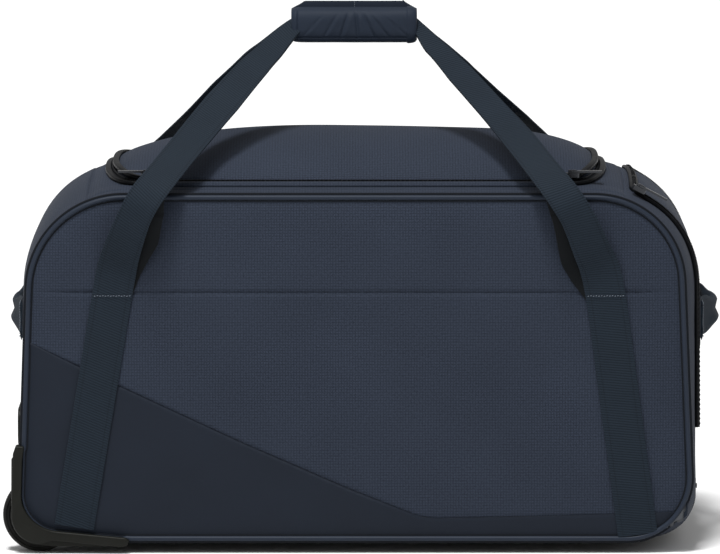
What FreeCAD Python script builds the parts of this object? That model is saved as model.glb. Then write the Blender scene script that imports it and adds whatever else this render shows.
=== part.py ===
import FreeCAD, Part
import math
import os

# Rolling duffel bag. Millimetres. +X points to the pull-handle end, the wheels are at -X,
# the front panel faces -Y, +Z is up, and the origin is on the floor under the middle.

V = FreeCAD.Vector
X_AXIS = V(1, 0, 0)
Y_AXIS = V(0, 1, 0)
Z_AXIS = V(0, 0, 1)

# --- body of the bag ---
HALF_LENGTH = 340.0          # outer face of the end panels
HALF_DEPTH = 176.0           # front and rear edges of the gusset
BASE_Z = 10.0                # underside of the base fabric
FRONT_EDGE_Z = 358.0         # top of the gusset at the front and rear edges
CROWN_Z = 376.0              # top of the gusset at mid depth
SHOULDER_R = 113.0           # shoulders, seen from the front
FOOT_CORNER_R = 41.0         # bottom corners of the gusset
WALL = 4.0                   # padded fabric
FLANGE = 14.0                # seam allowance of the gusset behind the big panels
PANEL_T = 4.0                # front and rear panels
PIPING_R = 4.0
END_SPLIT_X = 266.0          # seam between the end panels and the top and base

# --- lid ---
LID_X0 = -250.0
LID_X1 = 245.0
LID_HALF_DEPTH = 135.0
LID_CORNER_R = 36.0
LID_EDGE_Z = 366.5           # lid surface at its front and rear edges
LID_TOP_Z = 413.0            # highest point of the dome
LID_GAP = 1.0                # slit between the lid and the opening
TAPE_W = 9.0
TAPE_T = 2.0
ZIP_OPEN_Y = 112.0           # the zip stops here, short of the rear seam

# --- webbing ---
WEB_W = 40.0
WEB_T = 2.5
BAR_TACK_Z = 262.0           # where the handles leave the straps
GRIP_X0 = -70.0
GRIP_X1 = 58.0
GRIP_Z0 = 502.0
GRIP_Z1 = 539.0
GRIP_HALF_DEPTH = 21.0
HANDLE_GAP = 1.2             # between the front and rear halves of the grip

# --- grab handles on the ends ---
GRAB_HALF = 80.0
GRAB_Z0 = 207.0
GRAB_T = 3.0
PATCH_T = 1.5
LEFT_GRAB_X = -348.7         # outermost faces
RIGHT_GRAB_X = 358.8

# --- wheels ---
AXLE_X = -321.8
WHEEL_R = 37.0
AXLE_Z = WHEEL_R
WHEEL_Y = -156.0
WHEEL_W = 24.0
RIM_R = 29.5
BEARING_R = 11.0
BEARING_W = 7.0
AXLE_R = 3.97
BORE_R = 4.0
WELL_R = 41.0
WELL_W = 28.0
HOUSING_Y0 = -175.5
HOUSING_Y1 = -134.0
GUARD_Y = -184.0             # front face of the corner guard
HOUSING_X = -270.0           # inner end of the housing
HOUSING_Z = 92.0             # top of the housing inside the bag
GUARD_R = 28.0
GUARD_LEG_X = -349.3         # outer face of the leg up the end
GUARD_LEG_Z = 102.0
GUARD_TOE_X = -236.0         # end of the leg along the base
GUARD_SOLE_Z = 7.5
GUARD_CHAMFER = 6.5
GUARD_HEEL_X = -305.0

# --- pull handle ---
TUBE_Y = 72.0
TUBE_Z = 32.0
OUTER_TUBE_R = 9.0
OUTER_TUBE_BORE = 7.55
INNER_TUBE_R = 7.5
INNER_TUBE_BORE = 6.3
TUBE_X0 = -285.0
CUP_X = 296.0
CUP_WALL_X = 302.0
CUP_HALF = 102.0
CUP_Z0 = BASE_Z + WALL
CUP_Z1 = 66.0
PULL_X0 = 314.0
PULL_X1 = 334.0
PULL_HALF = 86.0
PULL_H = 22.0
ROD_R = 2.0
BUTTON_HALF = 16.0
BUTTON_H = 10.0
BUTTON_GAP = 0.3
YOKE_H = 6.0
YOKE_T = 5.0

# --- end pocket on the pull-handle end ---
POCKET_T = 3.0
POCKET_HALF = 132.0
POCKET_Z0 = 122.0
POCKET_X0 = 266.0
POCKET_ZIP_W = 9.0
POCKET_ZIP_T = 4.5
SHOULDER_X = HALF_LENGTH - SHOULDER_R
SHOULDER_Z = CROWN_Z - SHOULDER_R

# --- small hardware ---
FOOT_X0 = 232.0
FOOT_X1 = 296.0
FOOT_Y0 = 54.0
FOOT_Y1 = 80.0
FOOT_R = 3.0
FOOT_SCREW_INSET = 16.0
FOOT_SCREW_R = 2.2
FOOT_HEAD_R = 4.5
FOOT_HEAD_Z0 = 3.0
FOOT_HEAD_Z1 = 6.0
HOUSING_SCREW_R = 3.2
HOUSING_SCREW_X0 = -349.7
HOUSING_SCREW_X1 = -345.5
HOUSING_SCREW_Z = 84.0
CUP_SCREW_R = 2.4
CUP_SCREW_Z = 58.0
CUP_SCREW_INSET = 3.0
KICK_T = 3.5
KICK_HALF = 165.0
KICK_Z0 = 106.0
KICK_Z1 = 144.0
KICK_R = 12.0
PATCH_HALF = 28.0
PATCH_MARGIN = 8.0
BOARD_X0 = -262.0
BOARD_X1 = 290.0
BOARD_HALF = 170.0
BOARD_T = 3.0

# --- zip sliders ---
SLIDER_X = 213.0
SLIDER_Y = -LID_HALF_DEPTH + 1.5
SLIDER_Z = 374.5
SLIDER_HALF_L = 7.0
SLIDER_HALF_W = 5.0
SLIDER_H = 4.5
BRIDGE_HALF_L = 4.0
BRIDGE_HALF_W = 1.5
BRIDGE_H = 7.5
PIN_R = 1.2
PIN_HOLE_R = 1.25
PIN_Z = 5.8                  # above the slider's underside
PULLER_HALF_W = 4.0
PULLER_T = 2.0
PULLER_NECK = 5.0
PULLER_L = 30.0
PULLER_FORK = 2.2            # half the room between the fork's arms
POCKET_SLIDER_ANGLE = 28.0   # from straight up, round the shoulder
POCKET_SLIDER_Y = -POCKET_HALF - POCKET_ZIP_W / 2
POCKET_SLIDER_LIFT = 0.4

# --- corners of the closed outlines, as (across, up, radius), anticlockwise ---
GUSSET = [
    (-HALF_LENGTH, BASE_Z, FOOT_CORNER_R),
    (HALF_LENGTH, BASE_Z, FOOT_CORNER_R),
    (HALF_LENGTH, CROWN_Z, SHOULDER_R),
    (-HALF_LENGTH, CROWN_Z, SHOULDER_R),
]
FRONT_PANEL = [
    (-339.5, 25.5, 38.0),
    (-233.0, 15.0, 150.0),
    (333.0, 15.0, 62.0),
    (318.5, 358.5, 88.0),
    (-328.0, 358.5, 95.0),
]
LID = [
    (LID_X0, -LID_HALF_DEPTH, LID_CORNER_R),
    (LID_X1, -LID_HALF_DEPTH, LID_CORNER_R),
    (LID_X1, LID_HALF_DEPTH, LID_CORNER_R),
    (LID_X0, LID_HALF_DEPTH, LID_CORNER_R),
]
# seam between the ripstop above and the smooth cloth below it, left to right
DIAGONAL_SEAM = [(-360.0, 225.0), (-120.0, 112.0), (60.0, 36.0), (360.0, 42.0)]

FAR = 500.0


def in_front_plane(y):
    """Places outline points (x, z) at depth y."""
    return lambda a, b: V(a, y, b)


def in_plan(z):
    """Places outline points (x, y) at height z."""
    return lambda a, b: V(a, b, z)


def offset_outline(corners, inward):
    """Moves every side of an anticlockwise outline inward and shortens its corner radii."""
    moved = []
    count = len(corners)
    for i in range(count):
        before = corners[i - 1]
        here = corners[i]
        after = corners[(i + 1) % count]
        d1 = V(here[0] - before[0], here[1] - before[1], 0).normalize()
        d2 = V(after[0] - here[0], after[1] - here[1], 0).normalize()
        n1 = V(-d1.y, d1.x, 0)
        n2 = V(-d2.y, d2.x, 0)
        shift = (n1 + n2) * (inward / (1 + n1.dot(n2)))
        moved.append((here[0] + shift.x, here[1] + shift.y, max(here[2] - inward, 1.0)))
    return moved


def outline_wire(corners, place):
    """Closed wire of straight runs joined by tangent arcs."""
    count = len(corners)
    arcs = []
    for i in range(count):
        p = V(corners[i][0], corners[i][1], 0)
        to_before = (V(corners[i - 1][0], corners[i - 1][1], 0) - p).normalize()
        after = corners[(i + 1) % count]
        to_after = (V(after[0], after[1], 0) - p).normalize()
        half = to_before.getAngle(to_after) / 2
        radius = corners[i][2]
        run = radius / math.tan(half)
        inward = (to_before + to_after).normalize()
        middle = p + inward * (radius / math.sin(half) - radius)
        arcs.append((p + to_before * run, middle, p + to_after * run))
    edges = []
    for i in range(count):
        start, middle, end = [place(q.x, q.y) for q in arcs[i]]
        edges.append(Part.Arc(start, middle, end).toShape())
        nxt = arcs[(i + 1) % count][0]
        edges.append(Part.LineSegment(end, place(nxt.x, nxt.y)).toShape())
    return Part.Wire(edges)


def prism(corners, place, direction):
    """Solid of an outline carried along a direction."""
    return Part.Face(outline_wire(corners, place)).extrude(direction)


def polygon_prism(points, direction):
    """Solid of a plain polygon carried along a direction."""
    return Part.Face(Part.makePolygon(points + [points[0]])).extrude(direction)


def box(x0, x1, y0, y1, z0, z1):
    return Part.makeBox(x1 - x0, y1 - y0, z1 - z0, V(x0, y0, z0))


def rounded_box(x0, x1, y0, y1, z0, z1, radius):
    solid = box(x0, x1, y0, y1, z0, z1)
    return solid.makeFillet(radius, solid.Edges)


def rod(radius, start, end):
    run = end - start
    return Part.makeCylinder(radius, run.Length, start, run)


def mirrored(shape):
    """The same piece on the rear side of the bag."""
    return shape.mirror(V(0, 0, 0), Y_AXIS)


def without(shape, *others):
    for other in others:
        shape = shape.cut(other)
    return shape


def crown_radius():
    rise = CROWN_Z - FRONT_EDGE_Z
    return (HALF_DEPTH ** 2 + rise ** 2) / (2 * rise)


def crown_height(y):
    radius = crown_radius()
    return CROWN_Z - radius + math.sqrt(radius ** 2 - y ** 2)


def crown_solid(raised, half_depth):
    """Everything under the arched top of the gusset."""
    left = V(-FAR, -half_depth, crown_height(half_depth) + raised)
    top = V(-FAR, 0, CROWN_Z + raised)
    right = V(-FAR, half_depth, crown_height(half_depth) + raised)
    low_right = V(-FAR, half_depth, -FAR)
    low_left = V(-FAR, -half_depth, -FAR)
    edges = [
        Part.Arc(left, top, right).toShape(),
        Part.LineSegment(right, low_right).toShape(),
        Part.LineSegment(low_right, low_left).toShape(),
        Part.LineSegment(low_left, left).toShape(),
    ]
    return Part.Face(Part.Wire(edges)).extrude(X_AXIS * 2 * FAR)


def body_solid(inward, half_depth):
    """The whole bag body, shrunk by a wall thickness or grown by a negative one."""
    outline = offset_outline(GUSSET, inward)
    body = prism(outline, in_front_plane(-half_depth), Y_AXIS * 2 * half_depth)
    return body.common(crown_solid(-inward, half_depth))


def gusset_shell():
    """Gusset with a seam allowance at the front and rear."""
    shell = body_solid(0, HALF_DEPTH).cut(body_solid(WALL, HALF_DEPTH - 3.0))
    window = prism(offset_outline(GUSSET, FLANGE), in_front_plane(-FAR), Y_AXIS * 2 * FAR)
    window = window.common(crown_solid(-FLANGE, HALF_DEPTH))
    return shell.cut(window)


def lid_outer(lowered):
    """Everything under the domed lid: arched from front to back and drooping at both ends."""
    half = LID_HALF_DEPTH
    arch = [
        Part.Arc(
            V(-FAR, -half, LID_EDGE_Z - lowered),
            V(-FAR, 0, LID_TOP_Z - lowered),
            V(-FAR, half, LID_EDGE_Z - lowered),
        ).toShape()
    ]
    ground = [V(-FAR, half, LID_EDGE_Z - lowered), V(-FAR, half, 300), V(-FAR, -half, 300)]
    ground.append(V(-FAR, -half, LID_EDGE_Z - lowered))
    for i in range(3):
        arch.append(Part.LineSegment(ground[i], ground[i + 1]).toShape())
    across = Part.Face(Part.Wire(arch)).extrude(X_AXIS * 2 * FAR)

    end_z = CROWN_Z + 2.0 - lowered
    side_z = LID_TOP_Z - 13.0 - lowered
    shoulder = 50.0
    bend = 14.0
    stations = [
        (V(LID_X0, -FAR, end_z), V(LID_X0 + bend, -FAR, end_z + bend), V(LID_X0 + shoulder, -FAR, side_z)),
        (V(LID_X0 + shoulder, -FAR, side_z), V(0, -FAR, LID_TOP_Z - lowered), V(LID_X1 - shoulder, -FAR, side_z)),
        (V(LID_X1 - shoulder, -FAR, side_z), V(LID_X1 - bend, -FAR, end_z + bend), V(LID_X1, -FAR, end_z)),
    ]
    edges = [Part.Arc(*station).toShape() for station in stations]
    closing = [V(LID_X1, -FAR, end_z), V(LID_X1, -FAR, 300), V(LID_X0, -FAR, 300), V(LID_X0, -FAR, end_z)]
    for i in range(3):
        edges.append(Part.LineSegment(closing[i], closing[i + 1]).toShape())
    along = Part.Face(Part.Wire(edges)).extrude(Y_AXIS * 2 * FAR)
    return across.common(along)


def plan_prism(inward):
    """Everything above and below the lid's plan outline."""
    return prism(offset_outline(LID, inward), in_plan(0), Z_AXIS * FAR)


def lid_panel():
    sheet = lid_outer(0).cut(lid_outer(WALL))
    return sheet.common(plan_prism(LID_GAP))


def lid_zipper_tape():
    band = plan_prism(LID_GAP).cut(plan_prism(LID_GAP + TAPE_W))
    band = band.common(box(-FAR, FAR, -FAR, ZIP_OPEN_Y, 0, FAR))
    return lid_outer(-TAPE_T).cut(lid_outer(0)).common(band)


def bag_zipper_tape():
    band = plan_prism(-TAPE_W).cut(plan_prism(0))
    band = band.common(box(-FAR, FAR, -FAR, ZIP_OPEN_Y, 0, FAR))
    return crown_solid(TAPE_T, HALF_DEPTH).cut(crown_solid(0, HALF_DEPTH)).common(band)


def piping():
    """Round cord sewn along the edge of the front panel."""
    path = outline_wire(FRONT_PANEL, in_front_plane(-HALF_DEPTH - PIPING_R))
    start = path.Edges[1].Vertexes[0].Point
    along = path.Edges[1].tangentAt(path.Edges[1].FirstParameter)
    ring = Part.Wire([Part.Circle(start, along, PIPING_R).toShape()])
    return path.makePipeShell([ring], True, True)


def big_panel():
    outline = offset_outline(FRONT_PANEL, PIPING_R)
    return prism(outline, in_front_plane(-HALF_DEPTH - PANEL_T), Y_AXIS * PANEL_T)


def below_seam():
    points = [V(x, -FAR, z) for x, z in DIAGONAL_SEAM]
    points += [V(FAR, -FAR, 42.0), V(FAR, -FAR, -FAR), V(-FAR, -FAR, -FAR), V(-FAR, -FAR, 225.0)]
    return polygon_prism(points, Y_AXIS * 2 * FAR)


def sewn_strap(top_x, bottom_x, bottom_z):
    """Webbing sewn flat on the front panel, from the bar tack down to the piping."""
    y = -HALF_DEPTH - PANEL_T
    half = WEB_W / 2
    top = BAR_TACK_Z - 1.0
    points = [
        V(top_x - half, y, top),
        V(bottom_x - half, y, bottom_z),
        V(bottom_x + half, y, bottom_z),
        V(top_x + half, y, top),
    ]
    return polygon_prism(points, Y_AXIS * -WEB_T)


# centre line of each half of the front handle, with the way its face looks
FLAT = V(0, -1, 0)
LEANING = V(0, -0.607, 0.795)
LEFT_RUN = [
    (V(-247.5, -182, BAR_TACK_Z + 1.0), FLAT),
    (V(-239, -184.5, 305), FLAT),
    (V(-223, -190.5, 349), FLAT),
    (V(-214, -190, 366), V(0, -0.87, 0.5)),
    (V(-160, -117, 421), LEANING),
    (V(-98, -48, 481), LEANING),
    (V(-66, -9, 513), LEANING),
]
RIGHT_RUN = [
    (V(245.5, -182, BAR_TACK_Z + 1.0), FLAT),
    (V(233, -184.5, 305), FLAT),
    (V(212, -190.5, 349), FLAT),
    (V(203, -190, 366), V(0, -0.87, 0.5)),
    (V(155, -117, 419), LEANING),
    (V(104, -52, 469), LEANING),
    (V(56, -9, 513), LEANING),
]


def webbing(run, width):
    """Flat strap along a run of points; its width lies square to the run and to its face."""
    sections = []
    last = len(run) - 1
    for i, (centre, face) in enumerate(run):
        travel = run[min(i + 1, last)][0] - run[max(i - 1, 0)][0]
        across = travel.cross(face).normalize()
        if i == 0:
            across = V(1, 0, 0)
        through = V(face).normalize()
        a = across * (width / 2)
        t = through * (WEB_T / 2)
        corners = [centre - a - t, centre + a - t, centre + a + t, centre - a + t]
        sections.append(Part.makePolygon(corners + [corners[0]]))
    return Part.makeLoft(sections, True, True)


def front_handle():
    left = webbing(LEFT_RUN, WEB_W)
    right = webbing(RIGHT_RUN, WEB_W)
    held = box(GRIP_X0 - 1, GRIP_X1 + 1, -10.2, -7.7, GRIP_Z0 + 5, GRIP_Z1 - 5)
    whole = left.fuse(held).fuse(right).removeSplitter()
    return whole.common(box(-FAR, FAR, -FAR, -HANDLE_GAP / 2, 0, 2 * FAR))


def front_grip_wrap(handle):
    """Front half of the padded sleeve that gathers the two handles."""
    half = rounded_box(GRIP_X0, GRIP_X1, -GRIP_HALF_DEPTH, GRIP_HALF_DEPTH, GRIP_Z0, GRIP_Z1, 12.0)
    half = half.common(box(-FAR, FAR, -FAR, -HANDLE_GAP / 2, 0, 2 * FAR))
    return half.cut(handle)


def grab_handle(face_x, outer_x):
    """Webbing arch on an end panel; its two ends lie on the sewn patches."""
    sign = 1 if outer_x > 0 else -1
    inner = outer_x - sign * GRAB_T
    near = face_x + sign * (PATCH_T + 0.1)
    far = near + sign * GRAB_T
    z = GRAB_Z0
    edges = [
        Part.Arc(V(near, -GRAB_HALF, z), V(inner, 0, z), V(near, GRAB_HALF, z)).toShape(),
        Part.LineSegment(V(near, GRAB_HALF, z), V(far, GRAB_HALF, z)).toShape(),
        Part.Arc(V(far, GRAB_HALF, z), V(outer_x, 0, z), V(far, -GRAB_HALF, z)).toShape(),
        Part.LineSegment(V(far, -GRAB_HALF, z), V(near, -GRAB_HALF, z)).toShape(),
    ]
    return Part.Face(Part.Wire(edges)).extrude(Z_AXIS * WEB_W)


def grab_patches(face_x):
    sign = 1 if face_x > 0 else -1
    patches = []
    for y in (-GRAB_HALF, GRAB_HALF):
        x0, x1 = sorted((face_x, face_x + sign * PATCH_T))
        z0, z1 = GRAB_Z0 - PATCH_MARGIN, GRAB_Z0 + WEB_W + PATCH_MARGIN
        patches.append(box(x0, x1, y - PATCH_HALF, y + PATCH_HALF, z0, z1))
    return Part.makeCompound(patches)


def pocket_layer(thickness, half_depth, start_x, start_z):
    layer = body_solid(-thickness, HALF_DEPTH).cut(body_solid(0, HALF_DEPTH))
    return layer.common(box(start_x, FAR, -half_depth, half_depth, start_z, FAR))


def end_pocket_panel():
    return pocket_layer(POCKET_T, POCKET_HALF, POCKET_X0, POCKET_Z0)


def end_pocket_zipper():
    outer = pocket_layer(POCKET_ZIP_T, POCKET_HALF + POCKET_ZIP_W, POCKET_X0 - POCKET_ZIP_W, POCKET_Z0)
    return outer.cut(box(POCKET_X0, FAR, -POCKET_HALF, POCKET_HALF, 0, FAR))


def guard_profile(y0, y1):
    """Corner guard seen from the front: a leg up the end, a round corner and a leg along the base."""
    slant = GUARD_R * math.sqrt(0.5)
    a = V(AXLE_X - GUARD_R, y0, AXLE_Z)
    b = V(AXLE_X - slant, y0, AXLE_Z - slant)
    c = V(AXLE_X, y0, AXLE_Z - GUARD_R)
    loop = [c, V(GUARD_HEEL_X, y0, GUARD_SOLE_Z), V(GUARD_TOE_X - GUARD_CHAMFER, y0, GUARD_SOLE_Z)]
    loop += [V(GUARD_TOE_X, y0, GUARD_SOLE_Z + GUARD_CHAMFER), V(GUARD_TOE_X, y0, GUARD_LEG_Z)]
    loop += [V(GUARD_LEG_X + GUARD_CHAMFER, y0, GUARD_LEG_Z), V(GUARD_LEG_X, y0, GUARD_LEG_Z - GUARD_CHAMFER), a]
    edges = [Part.Arc(a, b, c).toShape()]
    for i in range(len(loop) - 1):
        edges.append(Part.LineSegment(loop[i], loop[i + 1]).toShape())
    return Part.Face(Part.Wire(edges)).extrude(Y_AXIS * (y1 - y0))


def housing_envelope():
    block = guard_profile(HOUSING_Y0, HOUSING_Y1)
    room = box(-FAR, HOUSING_X, -FAR, FAR, 0, HOUSING_Z)
    sole = box(-FAR, FAR, -FAR, FAR, 0, BASE_Z)
    return block.common(room.fuse(sole))


def wheel_well():
    start = V(AXLE_X, WHEEL_Y - WELL_W / 2, AXLE_Z)
    return rod(WELL_R, start, start + Y_AXIS * WELL_W)


def front_guard():
    guard = guard_profile(GUARD_Y, HOUSING_Y0)
    inside = offset_outline(FRONT_PANEL, -PIPING_R - 0.2)
    return guard.cut(prism(inside, in_front_plane(-FAR), Y_AXIS * FAR))


def front_axle():
    return rod(AXLE_R, V(AXLE_X, HOUSING_Y0 + 1, AXLE_Z), V(AXLE_X, HOUSING_Y1 - 1, AXLE_Z))


def front_wheel_housing():
    housing = housing_envelope().cut(wheel_well())
    return without(housing.fuse(front_guard()).removeSplitter(), front_axle())


def wheel_disc(radius, width):
    start = V(AXLE_X, WHEEL_Y - width / 2, AXLE_Z)
    return rod(radius, start, start + Y_AXIS * width)


def front_wheel_tyre():
    disc = wheel_disc(WHEEL_R, WHEEL_W)
    disc = disc.makeFillet(5.0, disc.Edges)
    return disc.cut(wheel_disc(RIM_R, WHEEL_W + 2))


def front_wheel_bearings():
    ring = wheel_disc(BEARING_R, WHEEL_W - 2).cut(wheel_disc(BORE_R, WHEEL_W))
    return ring.cut(wheel_disc(BEARING_R + 1, WHEEL_W - 2 - 2 * BEARING_W))


def front_wheel_hub():
    """Rim and disc, with a narrower collar that keeps the two bearings apart."""
    rim = wheel_disc(RIM_R, WHEEL_W - 3).cut(wheel_disc(BEARING_R, WHEEL_W))
    collar = wheel_disc(BEARING_R, WHEEL_W - 2 - 2 * BEARING_W).cut(wheel_disc(BEARING_R - 2, WHEEL_W))
    return rim.fuse(collar).removeSplitter()


def tube_pair(radius, x0, x1, bore=0.0):
    tubes = []
    for y in (-TUBE_Y, TUBE_Y):
        tube = rod(radius, V(x0, y, TUBE_Z), V(x1, y, TUBE_Z))
        if bore:
            tube = tube.cut(rod(bore, V(x0 - 1, y, TUBE_Z), V(x1 + 1, y, TUBE_Z)))
        tubes.append(tube)
    return Part.makeCompound(tubes)


def cup_block():
    block = box(CUP_X, HALF_LENGTH + 1, -CUP_HALF, CUP_HALF, CUP_Z0, CUP_Z1)
    return block.common(body_solid(0, HALF_DEPTH))


def trolley_cup():
    room = box(CUP_WALL_X, FAR, -CUP_HALF + 6, CUP_HALF - 6, CUP_Z0 + 4, CUP_Z1 - 5)
    return without(cup_block(), room, tube_pair(OUTER_TUBE_R, CUP_X - 1, CUP_WALL_X + 1))


def trolley_bracket():
    block = box(TUBE_X0 - 7, TUBE_X0 + 17, -TUBE_Y - 20, TUBE_Y + 20, CUP_Z0, TUBE_Z + 10)
    return block.cut(tube_pair(OUTER_TUBE_R, TUBE_X0, TUBE_X0 + 20))


def trolley_grip():
    z0 = TUBE_Z - PULL_H / 2
    z1 = TUBE_Z + PULL_H / 2
    bar = rounded_box(PULL_X0, PULL_X1, -PULL_HALF, PULL_HALF, z0, z1, 7.0)
    sockets = tube_pair(INNER_TUBE_R, PULL_X0 - 1, PULL_X0 + 4)
    yoke_room = box(PULL_X0 + 4, PULL_X1 - 5, -TUBE_Y - 6, TUBE_Y + 6, TUBE_Z - 4, TUBE_Z + 4)
    room_half = BUTTON_HALF + BUTTON_GAP
    room_h = BUTTON_H / 2 + BUTTON_GAP
    button_room = box(PULL_X0 + 8, PULL_X1 + 1, -room_half, room_half, TUBE_Z - room_h, TUBE_Z + room_h)
    return without(bar, sockets, yoke_room, button_room)


def lock_rods():
    """Two rods inside the tubes, joined by a yoke inside the grip."""
    x0 = PULL_X0 + 8.5
    yoke = box(x0, x0 + YOKE_T, -TUBE_Y - 4, TUBE_Y + 4, TUBE_Z - YOKE_H / 2, TUBE_Z + YOKE_H / 2)
    for y in (-TUBE_Y, TUBE_Y):
        yoke = yoke.fuse(rod(ROD_R, V(TUBE_X0 + 30, y, TUBE_Z), V(PULL_X0 + 9, y, TUBE_Z)))
    return yoke.removeSplitter()


def release_button():
    x0 = PULL_X0 + 8.5 + YOKE_T
    button = box(x0, PULL_X1 + 2, -BUTTON_HALF, BUTTON_HALF, TUBE_Z - BUTTON_H / 2, TUBE_Z + BUTTON_H / 2)
    rim = [edge for edge in button.Edges if edge.BoundBox.XMin > PULL_X1 + 1.9]
    return button.makeFillet(1.5, rim)


def foot_screw_places():
    middle = (FOOT_Y0 + FOOT_Y1) / 2
    across = (-middle, middle)
    along = (FOOT_X0 + FOOT_SCREW_INSET, FOOT_X1 - FOOT_SCREW_INSET)
    return [(x, y) for y in across for x in along]


def foot_screws():
    screws = []
    for x, y in foot_screw_places():
        head = rod(FOOT_HEAD_R, V(x, y, FOOT_HEAD_Z0), V(x, y, FOOT_HEAD_Z1))
        shank = rod(FOOT_SCREW_R, V(x, y, FOOT_HEAD_Z1), V(x, y, BASE_Z + WALL))
        screws.append(head.fuse(shank).removeSplitter())
    return Part.makeCompound(screws)


def skid_feet():
    feet = []
    for y0, y1 in ((-FOOT_Y1, -FOOT_Y0), (FOOT_Y0, FOOT_Y1)):
        foot = box(FOOT_X0, FOOT_X1, y0, y1, 0, BASE_Z)
        rim = [e for e in foot.Edges if e.BoundBox.ZMax < 0.1 or e.BoundBox.ZLength > BASE_Z / 2]
        feet.append(foot.makeFillet(FOOT_R, rim))
    wells = [rod(FOOT_HEAD_R, V(x, y, -1), V(x, y, FOOT_HEAD_Z0)) for x, y in foot_screw_places()]
    return without(Part.makeCompound(feet), foot_screws(), Part.makeCompound(wells))


def housing_screws():
    screws = []
    for y in (-HOUSING_Y0 - 5, -HOUSING_Y1 - 4):
        for side in (-1, 1):
            start = V(HOUSING_SCREW_X1, side * y, HOUSING_SCREW_Z)
            screws.append(rod(HOUSING_SCREW_R, start, V(HOUSING_SCREW_X0, side * y, HOUSING_SCREW_Z)))
    return Part.makeCompound(screws)


def cup_screws():
    screws = []
    for y in (-CUP_HALF + CUP_SCREW_INSET, CUP_HALF - CUP_SCREW_INSET):
        start = V(HALF_LENGTH - 8, y, CUP_SCREW_Z)
        screws.append(rod(CUP_SCREW_R, start, V(HALF_LENGTH + 1.2, y, CUP_SCREW_Z)))
    return Part.makeCompound(screws)


def kick_plate():
    plate = box(-HALF_LENGTH - KICK_T, -HALF_LENGTH, -KICK_HALF, KICK_HALF, KICK_Z0, KICK_Z1)
    corners = [e for e in plate.Edges if e.BoundBox.XLength > KICK_T / 2]
    return plate.makeFillet(KICK_R, corners)


def zip_slider(x, y, z):
    """Slider body with a bridge over it, pierced for the puller's pin."""
    body = box(x - SLIDER_HALF_L, x + SLIDER_HALF_L, y - SLIDER_HALF_W, y + SLIDER_HALF_W, z, z + SLIDER_H)
    body = body.makeFillet(1.5, [e for e in body.Edges if e.BoundBox.ZLength > SLIDER_H / 2])
    x0, x1 = x - BRIDGE_HALF_L, x + BRIDGE_HALF_L
    bridge = box(x0, x1, y - BRIDGE_HALF_W, y + BRIDGE_HALF_W, z + SLIDER_H - 0.1, z + BRIDGE_H)
    hole = rod(PIN_HOLE_R, V(x, y - 3, z + PIN_Z), V(x, y + 3, z + PIN_Z))
    return body.fuse(bridge.cut(hole)).removeSplitter()


def zip_puller(x, y, z, towards):
    """Tab with a cross pin that hangs in the slider's bridge."""
    z = z + PIN_Z
    z0, z1 = z - PULLER_T / 2, z + PULLER_T / 2
    pin = rod(PIN_R, V(x, y - PULLER_HALF_W, z), V(x, y + PULLER_HALF_W, z))
    x0, x1 = sorted((x + towards * PULLER_NECK, x + towards * PULLER_L))
    tab = box(x0, x1, y - PULLER_HALF_W, y + PULLER_HALF_W, z0, z1)
    a0, a1 = sorted((x, x + towards * (PULLER_NECK + 0.5)))
    near_arm = box(a0, a1, y - PULLER_HALF_W, y - PULLER_FORK, z0, z1)
    far_arm = box(a0, a1, y + PULLER_FORK, y + PULLER_HALF_W, z0, z1)
    return pin.fuse(tab).fuse(near_arm).fuse(far_arm).removeSplitter()


def on_shoulder(shape):
    """Turns a piece made over the shoulder's centre to its place on the shoulder."""
    turned = shape.copy()
    turned.rotate(V(SHOULDER_X, 0, SHOULDER_Z), Y_AXIS, POCKET_SLIDER_ANGLE)
    return turned


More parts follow.
